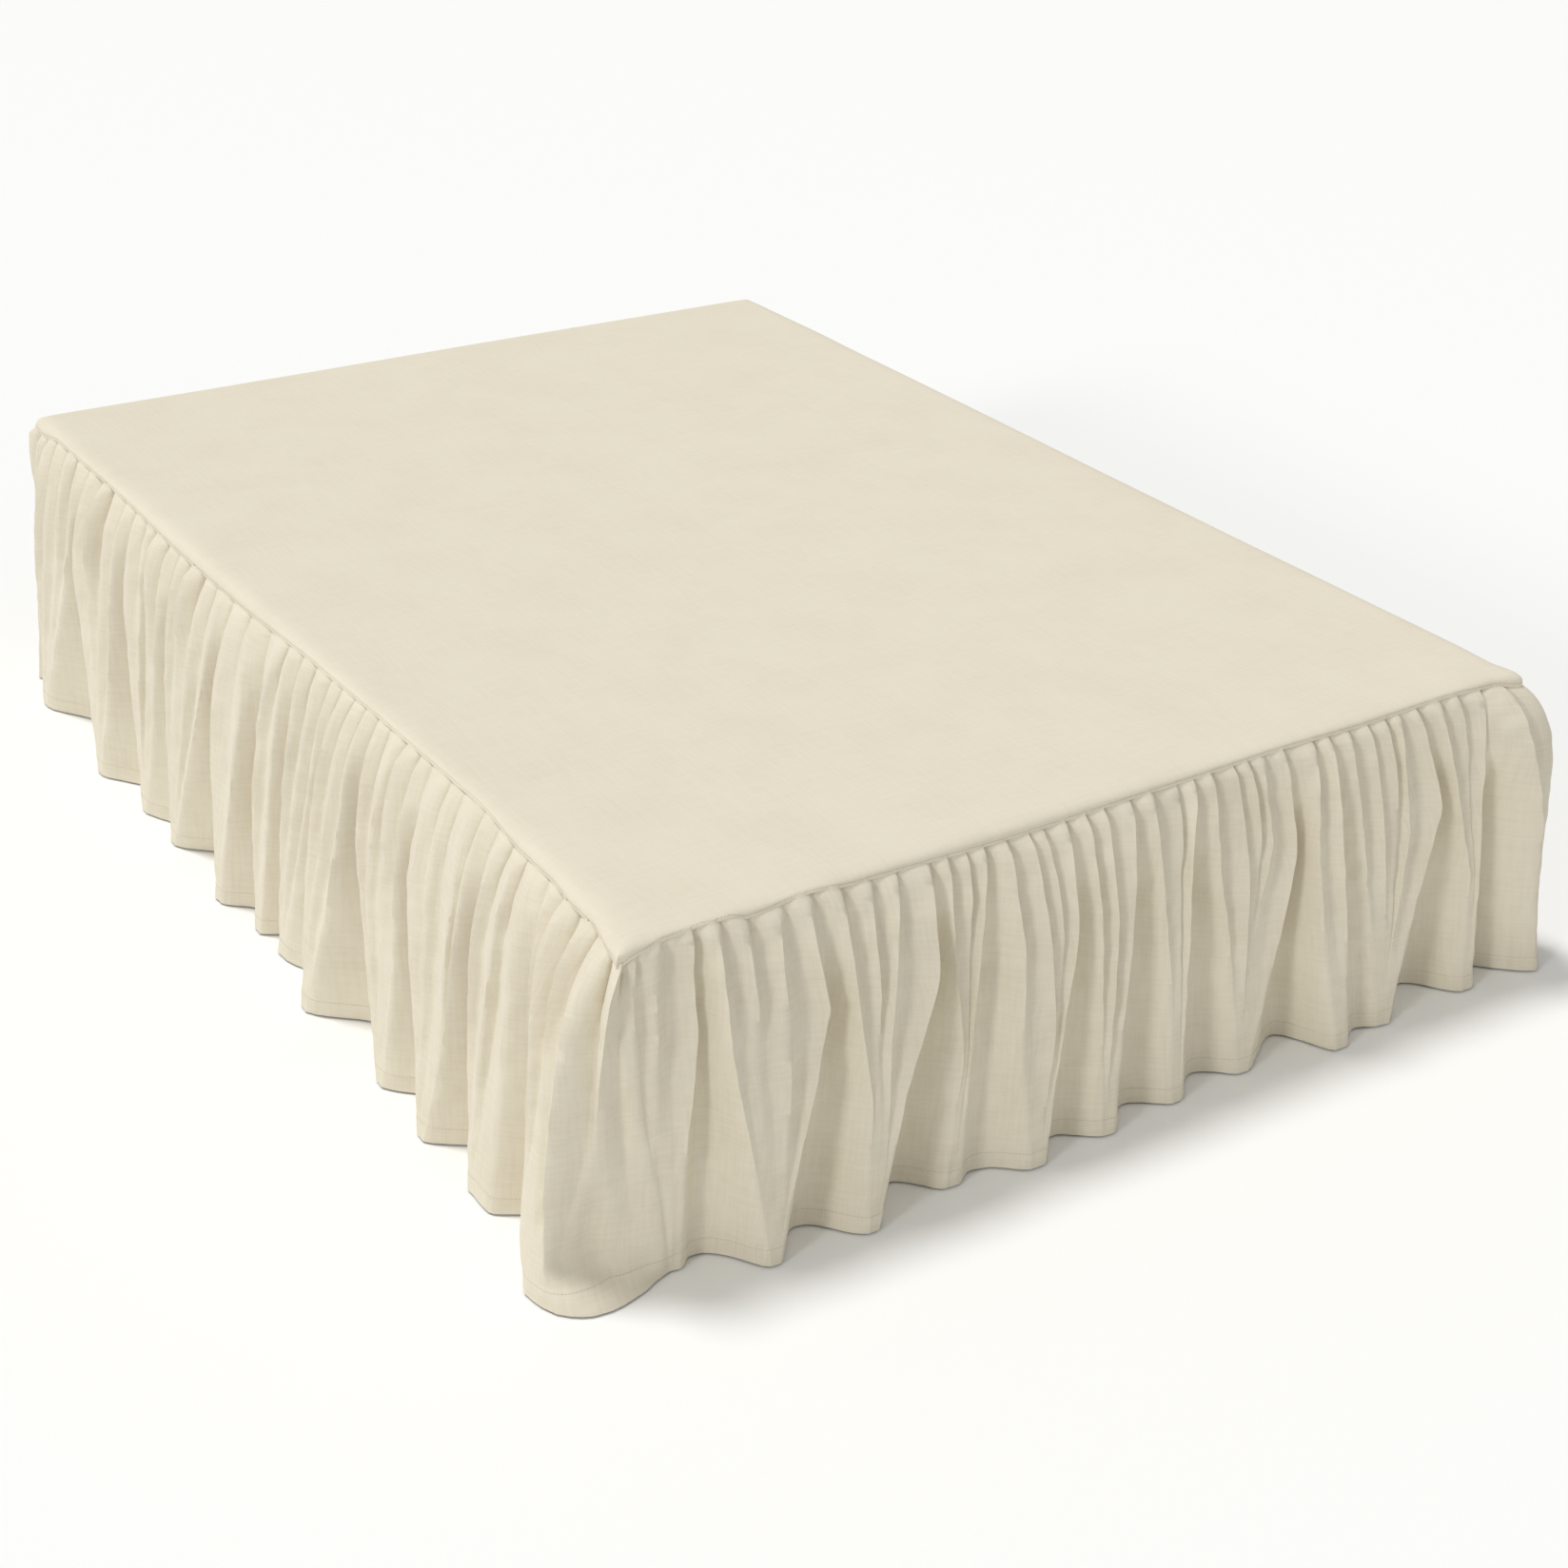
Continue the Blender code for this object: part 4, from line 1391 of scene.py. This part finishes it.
@dataclass(frozen=True)
class Stitching:
    """A row of lockstitches lying on a face.

    Attributes:
        thread: the material slot of its thread.
        length: length of one stitch.
        gap: distance between two stitches, where the thread dips into the cloth.
        width: the thread's thickness, drawn at twice its real 0.4 mm so that it shows.
        tip: a stitch's thickness at its ends, in its own thickness.
    """

    thread: Any
    length: float = 0.0032
    gap: float = 0.0013
    width: float = 0.0008
    tip: float = 0.45

    def build(self, name: str, path: np.ndarray, way: np.ndarray) -> Any:
        """Make one row.

        Args:
            name: the row's name.
            path: points that the row runs through.
            way: the unit way off the face at each point.

        Returns:
            The linked object.
        """
        run = np.append(0.0, np.cumsum(np.linalg.norm(np.diff(path, axis=0), axis=1)))
        starts = np.arange(int(run[-1] / (self.length + self.gap))) * (self.length + self.gap)
        at = starts[:, None] + self.length * np.array([0.0, 0.5, 1.0])
        centre = np.stack([np.interp(at, run, path[:, axis]) for axis in range(3)], axis=-1)
        off = np.stack([np.interp(at, run, way[:, axis]) for axis in range(3)], axis=-1)
        side = unit(np.cross(centre[:, 2:] - centre[:, :1], off))
        size = self.width / 2 * np.array([self.tip, 1.0, self.tip])[None, :, None]
        centre = centre + off * size * 0.5
        ring = np.stack((centre + side * size, centre + off * size, centre - side * size,
                         centre - off * size), axis=2)
        first = np.arange(len(starts))[:, None, None] * ring.shape[1] * ring.shape[2]
        row = np.array([0, 1, 2, 3])
        quads = [np.stack((row + low, np.roll(row, -1) + low, np.roll(row, -1) + low + 4,
                           row + low + 4), axis=-1) for low in (0, 4)]
        ends = np.array([[3, 2, 1, 0], [8, 9, 10, 11]])
        faces = (np.concatenate((*quads, ends))[None] + first).reshape(-1, 4)
        piece = mesh_piece(name, ring.reshape(-1, 3), faces)
        piece.data.materials.append(self.thread)
        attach(piece, BODY)
        LOG.info("%s: %d stitches", name, len(starts))
        return piece


@dataclass(frozen=True)
class DropLength:
    """One sewn length of the gathered drop, from one seam station to another.

    Attributes:
        name: the piece's name.
        node: the CAD node that it stands for.
        first: seam station of its first column.
        last: seam station of its last column.
        steps: columns in each half gather.
        hollow_steps: columns in each half gather beside a hollow.
        rows: rows down the drop.
        thickness: the canvas's thickness.
        hem_height: height of the turned-up hem.
        hem_thickness: thickness of the hem's three layers.
        stitch_height: height of the hem's stitches over its edge.
        fullness: how much wider the cloth was cut than the seam is long.
        flat_height: the cut height, with the turned-up hem and the seam allowance.
        hem_step: height over which the cloth thickens to the hem.
        crowding: how much the columns crowd towards a gather's valley.
        top_shares: shares of the rows at the seam, the first one tucked behind it.
        low_share: share of the first of the evenly spaced rows under them.
    """

    name: str
    node: str
    first: float
    last: float
    steps: int = 5
    hollow_steps: int = 8
    rows: int = 78
    thickness: float = 0.0011
    hem_height: float = 0.025
    hem_thickness: float = 0.0020
    stitch_height: float = 0.0230
    fullness: float = 1.5
    flat_height: float = 0.49
    hem_step: float = 0.0015
    crowding: float = 1.7
    top_shares: tuple[float, ...] = (-0.010, 0.0, 0.005, 0.011, 0.018, 0.027, 0.038, 0.052)
    low_share: float = 0.068

    def columns(self, shape: DropShape) -> np.ndarray:
        """Place the columns, a few for each half gather and more in the hollows.

        Args:
            shape: the drop's shape.

        Returns:
            The columns' seam stations.
        """
        seams = [g.seam for g in shape.plan.gathers()]
        sides = [g.side for g in shape.plan.gathers()]
        valleys = shape.hollow_nodes()
        marks = []
        for node, (near, far) in enumerate(zip(seams, seams[1:])):
            if near < self.first - 1e-9 or far > self.last + 1e-9:
                continue
            hollow = {node, node + 1} & set(valleys)
            part = np.arange(self.hollow_steps if hollow else self.steps)
            part = part / len(part)
            if not hollow:
                rising = sides[node] < 0
                part = part ** self.crowding if rising else 1 - (1 - part) ** self.crowding
            marks.extend(near + (far - near) * part)
        return np.array([*marks, self.last])

    def shares(self) -> np.ndarray:
        """Shares of the height of the rows: one tucked behind the seam, more just below it."""
        even = np.linspace(self.low_share, 1.0, self.rows - len(self.top_shares))
        return np.concatenate((self.top_shares, even))

    def flat_place(self, face: np.ndarray, seam: np.ndarray, share: np.ndarray,
                   shape: DropShape) -> np.ndarray:
        """Where each point lies on the flat cloth, so that the weave keeps its scale.

        Args:
            face: the drop's outer face, columns by rows.
            seam: the columns' seam stations.
            share: the rows' shares of the height.
            shape: the drop's shape.

        Returns:
            Flat places in metres, columns by rows by two.
        """
        steps = np.linalg.norm(np.diff(face[..., :2], axis=0), axis=-1)
        run = np.concatenate((np.zeros((1, len(share))), np.cumsum(steps, axis=0)))
        gathers = shape.plan.gathers()
        marks = [gathers[node].seam for node in shape.hollow_nodes()]
        marks = [self.first, *(m for m in marks if self.first < m < self.last), self.last]
        columns = np.searchsorted(seam, np.array(marks) - 1e-7).clip(0, len(seam) - 1)
        across = np.stack([np.interp(run[:, row], run[columns, row], np.array(marks) * self.fullness)
                           for row in range(len(share))], axis=1)
        down = np.broadcast_to(-share[None] * self.flat_height, across.shape)
        return np.stack((across, down), axis=-1)

    def build(self, shape: DropShape, stitching: Stitching) -> tuple[Any, Any]:
        """Make the length as a closed thin sheet, and the stitches of its hem.

        Args:
            shape: the drop's shape.
            stitching: the stitches.

        Returns:
            The cloth and its row of stitches.
        """
        seam, share = self.columns(shape), self.shares()
        face = shape.surface(seam, share)
        way = sheet_normals(face, ring=False)
        from_hem = (1 - share) * shape.outline.height
        hem = 1 - blend((from_hem - self.hem_height) / self.hem_step + 0.5)
        thick = mix(self.thickness, self.hem_thickness, hem)[None, :, None]
        front = face + way * (thick - self.thickness) / 2
        back = front - way * thick
        columns, rows = face.shape[:2]
        count = columns * rows
        number = np.arange(count).reshape(columns, rows)
        faces = np.concatenate((
            grid_faces(columns, rows, 0, False, False),
            grid_faces(columns, rows, count, False, True),
            strip_faces(number[:, 0] + count, number[:, 0]),
            strip_faces(number[:, -1], number[:, -1] + count),
            strip_faces(number[0], number[0] + count),
            strip_faces(number[-1] + count, number[-1]),
        ))
        uv = self.flat_place(face, seam, share, shape).reshape(-1, 2)
        points = np.concatenate((front.reshape(-1, 3), back.reshape(-1, 3)))
        piece = mesh_piece(self.name, points, faces, np.concatenate((uv, uv)))
        above = np.flatnonzero(from_hem > self.stitch_height)[-1]
        part = (from_hem[above] - self.stitch_height) / (from_hem[above] - from_hem[above + 1])
        path = mix(front[:, above], front[:, above + 1], part)
        return piece, stitching.build(f"hem_stitches_{self.name}", path, way[:, above])


@dataclass(frozen=True)
class GatheredDrop:
    """The whole drop: a length for the left side, one for the foot and one for the right side.

    Attributes:
        shape: the drop's shape.
        cloth: its finish.
        stitching: the stitches of its hem.
    """

    shape: DropShape
    cloth: WovenCotton
    stitching: Stitching

    def lengths(self) -> list[DropLength]:
        """The three lengths, parted in the valley beside each foot corner.

        Returns:
            The left, the foot's and the right length.
        """
        gathers = self.shape.plan.gathers()
        left, right = LEFT_FOLDS[-1].valley_seam, FOOT_FOLDS[-1].valley_seam
        return [
            DropLength("drop_left", "skirt_left", gathers[0].seam, left),
            DropLength("drop_foot", "skirt_foot", left, right, hollow_steps=9, rows=88),
            DropLength("drop_right", "skirt_right", right, gathers[-1].seam),
        ]

    def build(self) -> list[Any]:
        """Returns:
            The cloth pieces.
        """
        slot = self.cloth.build()
        pieces = []
        for length in self.lengths():
            piece, hem = length.build(self.shape, self.stitching)
            piece.data.materials.append(slot)
            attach(piece, BODY)
            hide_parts(length.node)
            LOG.info("%s: %d faces", piece.name, len(piece.data.polygons))
            pieces.append(piece)
        return pieces


@dataclass(frozen=True)
class DeckPanel:
    """The flat panel over the base, turned down over its edges to the seam.

    Attributes:
        outline: the deck's outline.
        seam: the seam line.
        shape: the drop's shape, whose gathers pucker the panel's edge.
        cloth: its finish.
        stitching: the stitches over the seam.
        pitch: distance between columns round the edge.
        turn: distance over which the edge turns down.
        squareness: power of the turned edge's curve: 2 is round, more is squarer.
        flat_corner_radius: rounding of the flat part's corners.
        edge_steps: rows down the turned edge, above its stitched rows.
        rings: rows from the middle to the turned edge.
        middle_share: the innermost row's place, as a share of the way out.
        stitched_rows: heights of the lowest rows over the seam.
        stitch_height: height of the stitches over the seam.
        groove: how deep the stitches pull the cloth in.
        groove_width: height over which they do.
        thickness: the canvas's thickness.
        pucker: how far the gathers push the edge in and out.
        pucker_power: how fast that grows down the edge.
        roll_in: how far the edge rolls in at the seam.
        roll_power: how late it does so.
        sag: the scale of how far the cloth lies under the deck's height.
        mean_sag: how far it lies there on the whole, in sags.
        sag_swing: how much slow waves change that, in sags.
        long_waves: waves across and along, each its phase's turn in a metre and its start.
        slant_waves: turn in a metre, across and along, of a third wave that runs aslant.
        slant_share: that wave's height, in the others'.
        tight_waves: turns in a metre, round the edge, of the stitches' tightness.
        tight_swing: how much that changes the grooves' depth, either way of the mean.
        flat_size: the cut width and length, with the turned edge and the seam allowance. It is not used.
    """

    outline: BedOutline
    seam: SeamLine
    shape: DropShape
    cloth: WovenCotton
    stitching: Stitching
    pitch: float = 0.0052
    turn: float = 0.032
    squareness: float = 3.2
    flat_corner_radius: float = 0.012
    edge_steps: int = 11
    rings: int = 14
    middle_share: float = 0.03
    stitched_rows: tuple[float, ...] = (0.0064, 0.0056, 0.0049, 0.0042, 0.0035, 0.0027, 0.0014, 0.0)
    stitch_height: float = 0.0046
    groove: float = 0.0008
    groove_width: float = 0.0011
    thickness: float = 0.0011
    pucker: float = 0.0007
    pucker_power: int = 3
    roll_in: float = 0.0004
    roll_power: int = 12
    sag: float = 0.0008
    mean_sag: float = 0.8
    sag_swing: float = 0.5
    long_waves: tuple[tuple[float, float], tuple[float, float]] = ((7.1, 0.6), (4.3, 1.1))
    slant_waves: tuple[float, float] = (3.2, 9.7)
    slant_share: float = 0.6
    tight_waves: tuple[float, float] = (487.0, 293.0)
    tight_swing: float = 0.3
    flat_size: tuple[float, float] = (1.45, 1.98)

    def turned_edge(self, station: np.ndarray) -> tuple[np.ndarray, np.ndarray, np.ndarray]:
        """Work out the part that turns down from the flat deck to the seam.

        Args:
            station: stations of the columns.

        Returns:
            The part's x and y, its heights over the floor and how far down it each row lies,
            from 0 on the flat to 1 at the seam, each columns by rows.
        """
        out, top = self.seam.at(station)
        rim, rim_way = self.seam.rim(station)
        rim = rim + rim_way * out[:, None]
        flat = self.flat_rim(station)
        turned = (self.outline.height - top)[:, None]
        above_rim = np.array(self.stitched_rows)[None]
        flat_end = np.arccos((above_rim[:, :1] / turned) ** (self.squareness / 2))
        angle = flat_end * np.linspace(0, 1, self.edge_steps, endpoint=False)
        down = np.concatenate((1 - np.cos(angle) ** (2 / self.squareness),
                               1 - above_rim / turned), axis=1)
        across = np.sin(np.arccos((1 - down) ** (self.squareness / 2))) ** (2 / self.squareness)
        edge_xy = mix(flat[:, None], rim[:, None], across[..., None])
        gathers = self.shape.plan.gathers()
        wave = np.interp(station, [g.seam for g in gathers], [g.side for g in gathers],
                         left=0.0, right=0.0)
        pucker = (self.pucker * wave[:, None] * down ** self.pucker_power
                  - self.roll_in * down ** self.roll_power)
        edge_xy = edge_xy + rim_way[:, None] * pucker[..., None]
        return edge_xy, mix(self.outline.height, top[:, None], down), down

    def flat_rim(self, station: np.ndarray) -> np.ndarray:
        """Where the flat part ends.

        Args:
            station: stations of the columns.

        Returns:
            Places with x and y, one for each column.
        """
        place, way = self.outline.at(station, self.turn + self.flat_corner_radius)
        return place - way * self.turn

    def slack(self, local: np.ndarray) -> np.ndarray:
        """How far the cloth lies under the deck's height, in slow waves 0.6 m long and longer.

        Args:
            local: places from the bed's middle, with x and y in the last axis.

        Returns:
            Depths at those places.
        """
        (first, first_at), (second, second_at) = self.long_waves
        wander = (np.sin(local[..., 0] * first + first_at) * np.sin(local[..., 1] * second + second_at)
                  + self.slant_share * np.sin(local[..., 0] * self.slant_waves[0]
                                              - local[..., 1] * self.slant_waves[1]))
        return self.sag * (self.mean_sag + self.sag_swing * wander)

    def grooves(self, station: np.ndarray, above: np.ndarray) -> np.ndarray:
        """How far the stitches pull the cloth in, some tighter than others.

        Args:
            station: stations of the columns.
            above: heights over the seam, columns by rows.

        Returns:
            Depths, columns by rows.
        """
        first, second = self.tight_waves
        tight = (1 - self.tight_swing) + self.tight_swing * (
            np.sin(station * first) + np.sin(station * second + 1.0)) / 2
        dip = np.exp(-((above - self.stitch_height) / self.groove_width) ** 2)
        return self.groove * tight[:, None] * dip

    def face(self, station: np.ndarray) -> tuple[np.ndarray, np.ndarray, np.ndarray]:
        """Work out the panel's upper face.

        Args:
            station: stations of the columns.

        Returns:
            Its points and their unit normals, columns by rows by x, y and z, and the points'
            places from the bed's middle.
        """
        edge_xy, edge_z, down = self.turned_edge(station)
        centre = np.array(self.outline.centre)
        scale = np.linspace(self.middle_share, 1.0, self.rings, endpoint=False)
        inner_xy = centre + (self.flat_rim(station)[:, None] - centre) * scale[None, :, None]
        xy = np.concatenate((inner_xy, edge_xy), axis=1)
        inner_z = np.full(inner_xy.shape[:2], self.outline.height)
        local = xy - centre
        level = np.concatenate((inner_z, edge_z), axis=1) - self.slack(local)
        face = np.concatenate((xy, level[..., None]), axis=-1)
        way = sheet_normals(face, ring=True)
        way[:, : self.rings // 2] = (0, 0, 1)
        _, top = self.seam.at(station)
        above = (self.outline.height - top)[:, None] * (1 - down)
        face[:, self.rings:] -= way[:, self.rings:] * self.grooves(station, above)[..., None]
        return face, way, local

    @staticmethod
    def faces(columns: int, rows: int) -> np.ndarray:
        """Number the faces of the closed sheet: two sides, the outer edge and the two middles.

        Args:
            columns: how many columns each side has.
            rows: how many rows each side has.

        Returns:
            A list of vertex numbers for each face.
        """
        total = columns * rows
        number = np.arange(total).reshape(columns, rows)
        faces = np.concatenate((
            grid_faces(columns, rows, 0, True, False),
            grid_faces(columns, rows, total, True, True),
            strip_faces(number[:, -1], number[:, -1] + total, ring=True),
        )).tolist()
        faces.append(number[::-1, 0].tolist())
        faces.append((number[:, 0] + total).tolist())
        return np.array(faces, dtype=object)

    def stitches(self, face: np.ndarray, way: np.ndarray) -> Any:
        """Sew the row over the seam.

        Args:
            face: the panel's upper face.
            way: its unit normals.

        Returns:
            The row of stitches.
        """
        over = sum(height >= self.stitch_height for height in self.stitched_rows)
        row = self.rings + self.edge_steps + over
        path = (face[:, row - 1] + face[:, row]) / 2
        return self.stitching.build("seam_stitches", np.append(path, path[:1], axis=0),
                                    np.append(way[:, row], way[:1, row], axis=0))

    def build(self) -> Any:
        """Returns:
            The cloth piece.
        """
        round_bed = 2 * self.outline.behind
        count = round(round_bed / self.pitch)
        start = -self.outline.length - self.shape.plan.return_length
        face, way, local = self.face(start + round_bed * np.arange(count) / count)
        back = face - way * self.thickness
        points = np.concatenate((face.reshape(-1, 3), back.reshape(-1, 3)))
        uv = local.reshape(-1, 2)
        piece = mesh_piece("deck_panel", points, self.faces(*face.shape[:2]),
                           np.concatenate((uv, uv)))
        piece.data.materials.append(self.cloth.build())
        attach(piece, BODY)
        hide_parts("platform_panel")
        self.stitches(face, way)
        LOG.info("%s: %d faces", piece.name, len(piece.data.polygons))
        return piece


@dataclass(frozen=True)
class BedBase:
    """The plain box foundation and its legs, which keep their CAD shapes.

    Attributes:
        ticking: the base's finish.
        beech: the legs' finish.
    """

    ticking: WovenTicking = WovenTicking()
    beech: VarnishedBeech = VarnishedBeech()

    def build(self) -> None:
        """Dress the base and its legs."""
        cover, wood = self.ticking.build(), self.beech.build()
        for name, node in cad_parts.items():
            if name == "base_box" or name.startswith("leg_"):
                node.data.materials[0] = cover if name == "base_box" else wood
                LOG.info("%s: dressed with %s", name, node.data.materials[0].name)


class StudioLight(NamedTuple):
    """A broad distant light.

    towards is the way from the bed to it, strength its irradiance in watts on a square metre,
    and spread_degrees how wide it looks from the bed, which softens its shadows.
    """

    name: str
    towards: tuple[float, float, float]
    strength: float
    spread_degrees: float


STUDIO_LIGHTS = (
    StudioLight("key_light", (-0.22, 0.26, 0.94), 0.57 * math.pi, 13.0),
    StudioLight("side_light", (-0.90, -0.26, 0.35), 0.24 * math.pi, 11.0),
    StudioLight("front_light", (0.16, -0.91, 0.36), 0.035 * math.pi, 50.0),
)


@dataclass(frozen=True)
class Studio:
    """The pale floor, the soft light and the camera.

    Attributes:
        outline: the deck's outline, which the camera is placed from.
        floor_size: the floor's length and width.
        floor_colour: the matte paper's colour.
        floor_roughness: its roughness.
        sky_strength: strength of the white light from all round.
        sensor_mm: width of the camera's frame.
        focal_length_mm: the lens's focal length.
        heading: how far the camera is turned from facing up the bed, in radians.
        tilt: how far it looks down, in radians.
        roll: how far it is rolled, in radians.
        camera_from_corner: its place, from the deck's near foot corner.
    """

    outline: BedOutline
    floor_size: float = 40.0
    floor_colour: str = "f3f3f1"
    floor_roughness: float = 0.9
    sky_strength: float = 0.46
    sensor_mm: float = 36.0
    focal_length_mm: float = 59.89
    heading: float = 0.604291
    tilt: float = 0.482359
    roll: float = 0.0354802
    camera_from_corner: tuple[float, float, float] = (-1.26493, -2.09437, 1.47147)

    def camera(self) -> None:
        """Set the camera at eye height off the near foot corner."""
        data = bpy.data.cameras.new("camera")
        data.sensor_width = self.sensor_mm
        data.lens = self.focal_length_mm
        camera = bpy.data.objects.new("camera", data)
        bpy.context.scene.collection.objects.link(camera)
        forward = Vector((math.sin(self.heading) * math.cos(self.tilt),
                          math.cos(self.heading) * math.cos(self.tilt), -math.sin(self.tilt)))
        level = Vector((math.cos(self.heading), -math.sin(self.heading), 0.0))
        upward = level.cross(forward)
        right = level * math.cos(self.roll) + upward * math.sin(self.roll)
        up = upward * math.cos(self.roll) - level * math.sin(self.roll)
        turn = Matrix((right, up, -forward)).transposed().to_4x4()
        corner = Vector((self.outline.centre[0] - self.outline.width / 2,
                         self.outline.centre[1] - self.outline.length / 2, self.outline.height))
        camera.matrix_world = Matrix.Translation(corner + Vector(self.camera_from_corner)) @ turn
        bpy.context.scene.camera = camera

    def lights(self) -> None:
        """Add the lights."""
        for light in STUDIO_LIGHTS:
            data = bpy.data.lights.new(light.name, "SUN")
            data.energy = light.strength
            data.angle = math.radians(light.spread_degrees)
            lamp = bpy.data.objects.new(light.name, data)
            lamp.rotation_euler = Vector(light.towards).to_track_quat("Z", "Y").to_euler()
            bpy.context.scene.collection.objects.link(lamp)

    def build(self) -> None:
        """Make floor, sky, lights and camera."""
        half = self.floor_size / 2
        mesh = bpy.data.meshes.new("floor")
        mesh.from_pydata([(-half, -half, 0), (half, -half, 0), (half, half, 0), (-half, half, 0)],
                         [], [(0, 1, 2, 3)])
        floor = bpy.data.objects.new("floor", mesh)
        bpy.context.scene.collection.objects.link(floor)
        paper, _, shader = new_material("studio_paper_matte")
        shader.inputs["Base Color"].default_value = linear_colour(self.floor_colour)
        shader.inputs["Roughness"].default_value = self.floor_roughness
        mesh.materials.append(paper)
        world = bpy.data.worlds.new("soft_sky")
        world.use_nodes = True
        world.node_tree.nodes["Background"].inputs["Color"].default_value = (1, 1, 1, 1)
        world.node_tree.nodes["Background"].inputs["Strength"].default_value = self.sky_strength
        bpy.context.scene.world = world
        bpy.context.scene.view_settings.view_transform = "Standard"
        self.lights()
        self.camera()


def main() -> None:
    """Build every sub-assembly in order."""
    logging.basicConfig(level=logging.INFO, format="%(name)s: %(message)s")
    low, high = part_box("base_box")
    outline = BedOutline(centre=((low.x + high.x) / 2, (low.y + high.y) / 2))
    Studio(outline).build()
    seam = SeamLine(outline)
    shape = DropShape(outline, seam, FoldPlan(outline))
    stitching = Stitching(CottonThread().build())
    DeckPanel(outline, seam, shape, WovenCotton(
        "cotton_canvas_woven_deck", "ded6c2", "d2c8b0", slub_share=0.28), stitching).build()
    GatheredDrop(shape, WovenCotton("cotton_canvas_woven_drop", "ded6c2", "c9bfa7"),
                 stitching).build()
    BedBase().build()


if __name__ == "__main__":
    main()
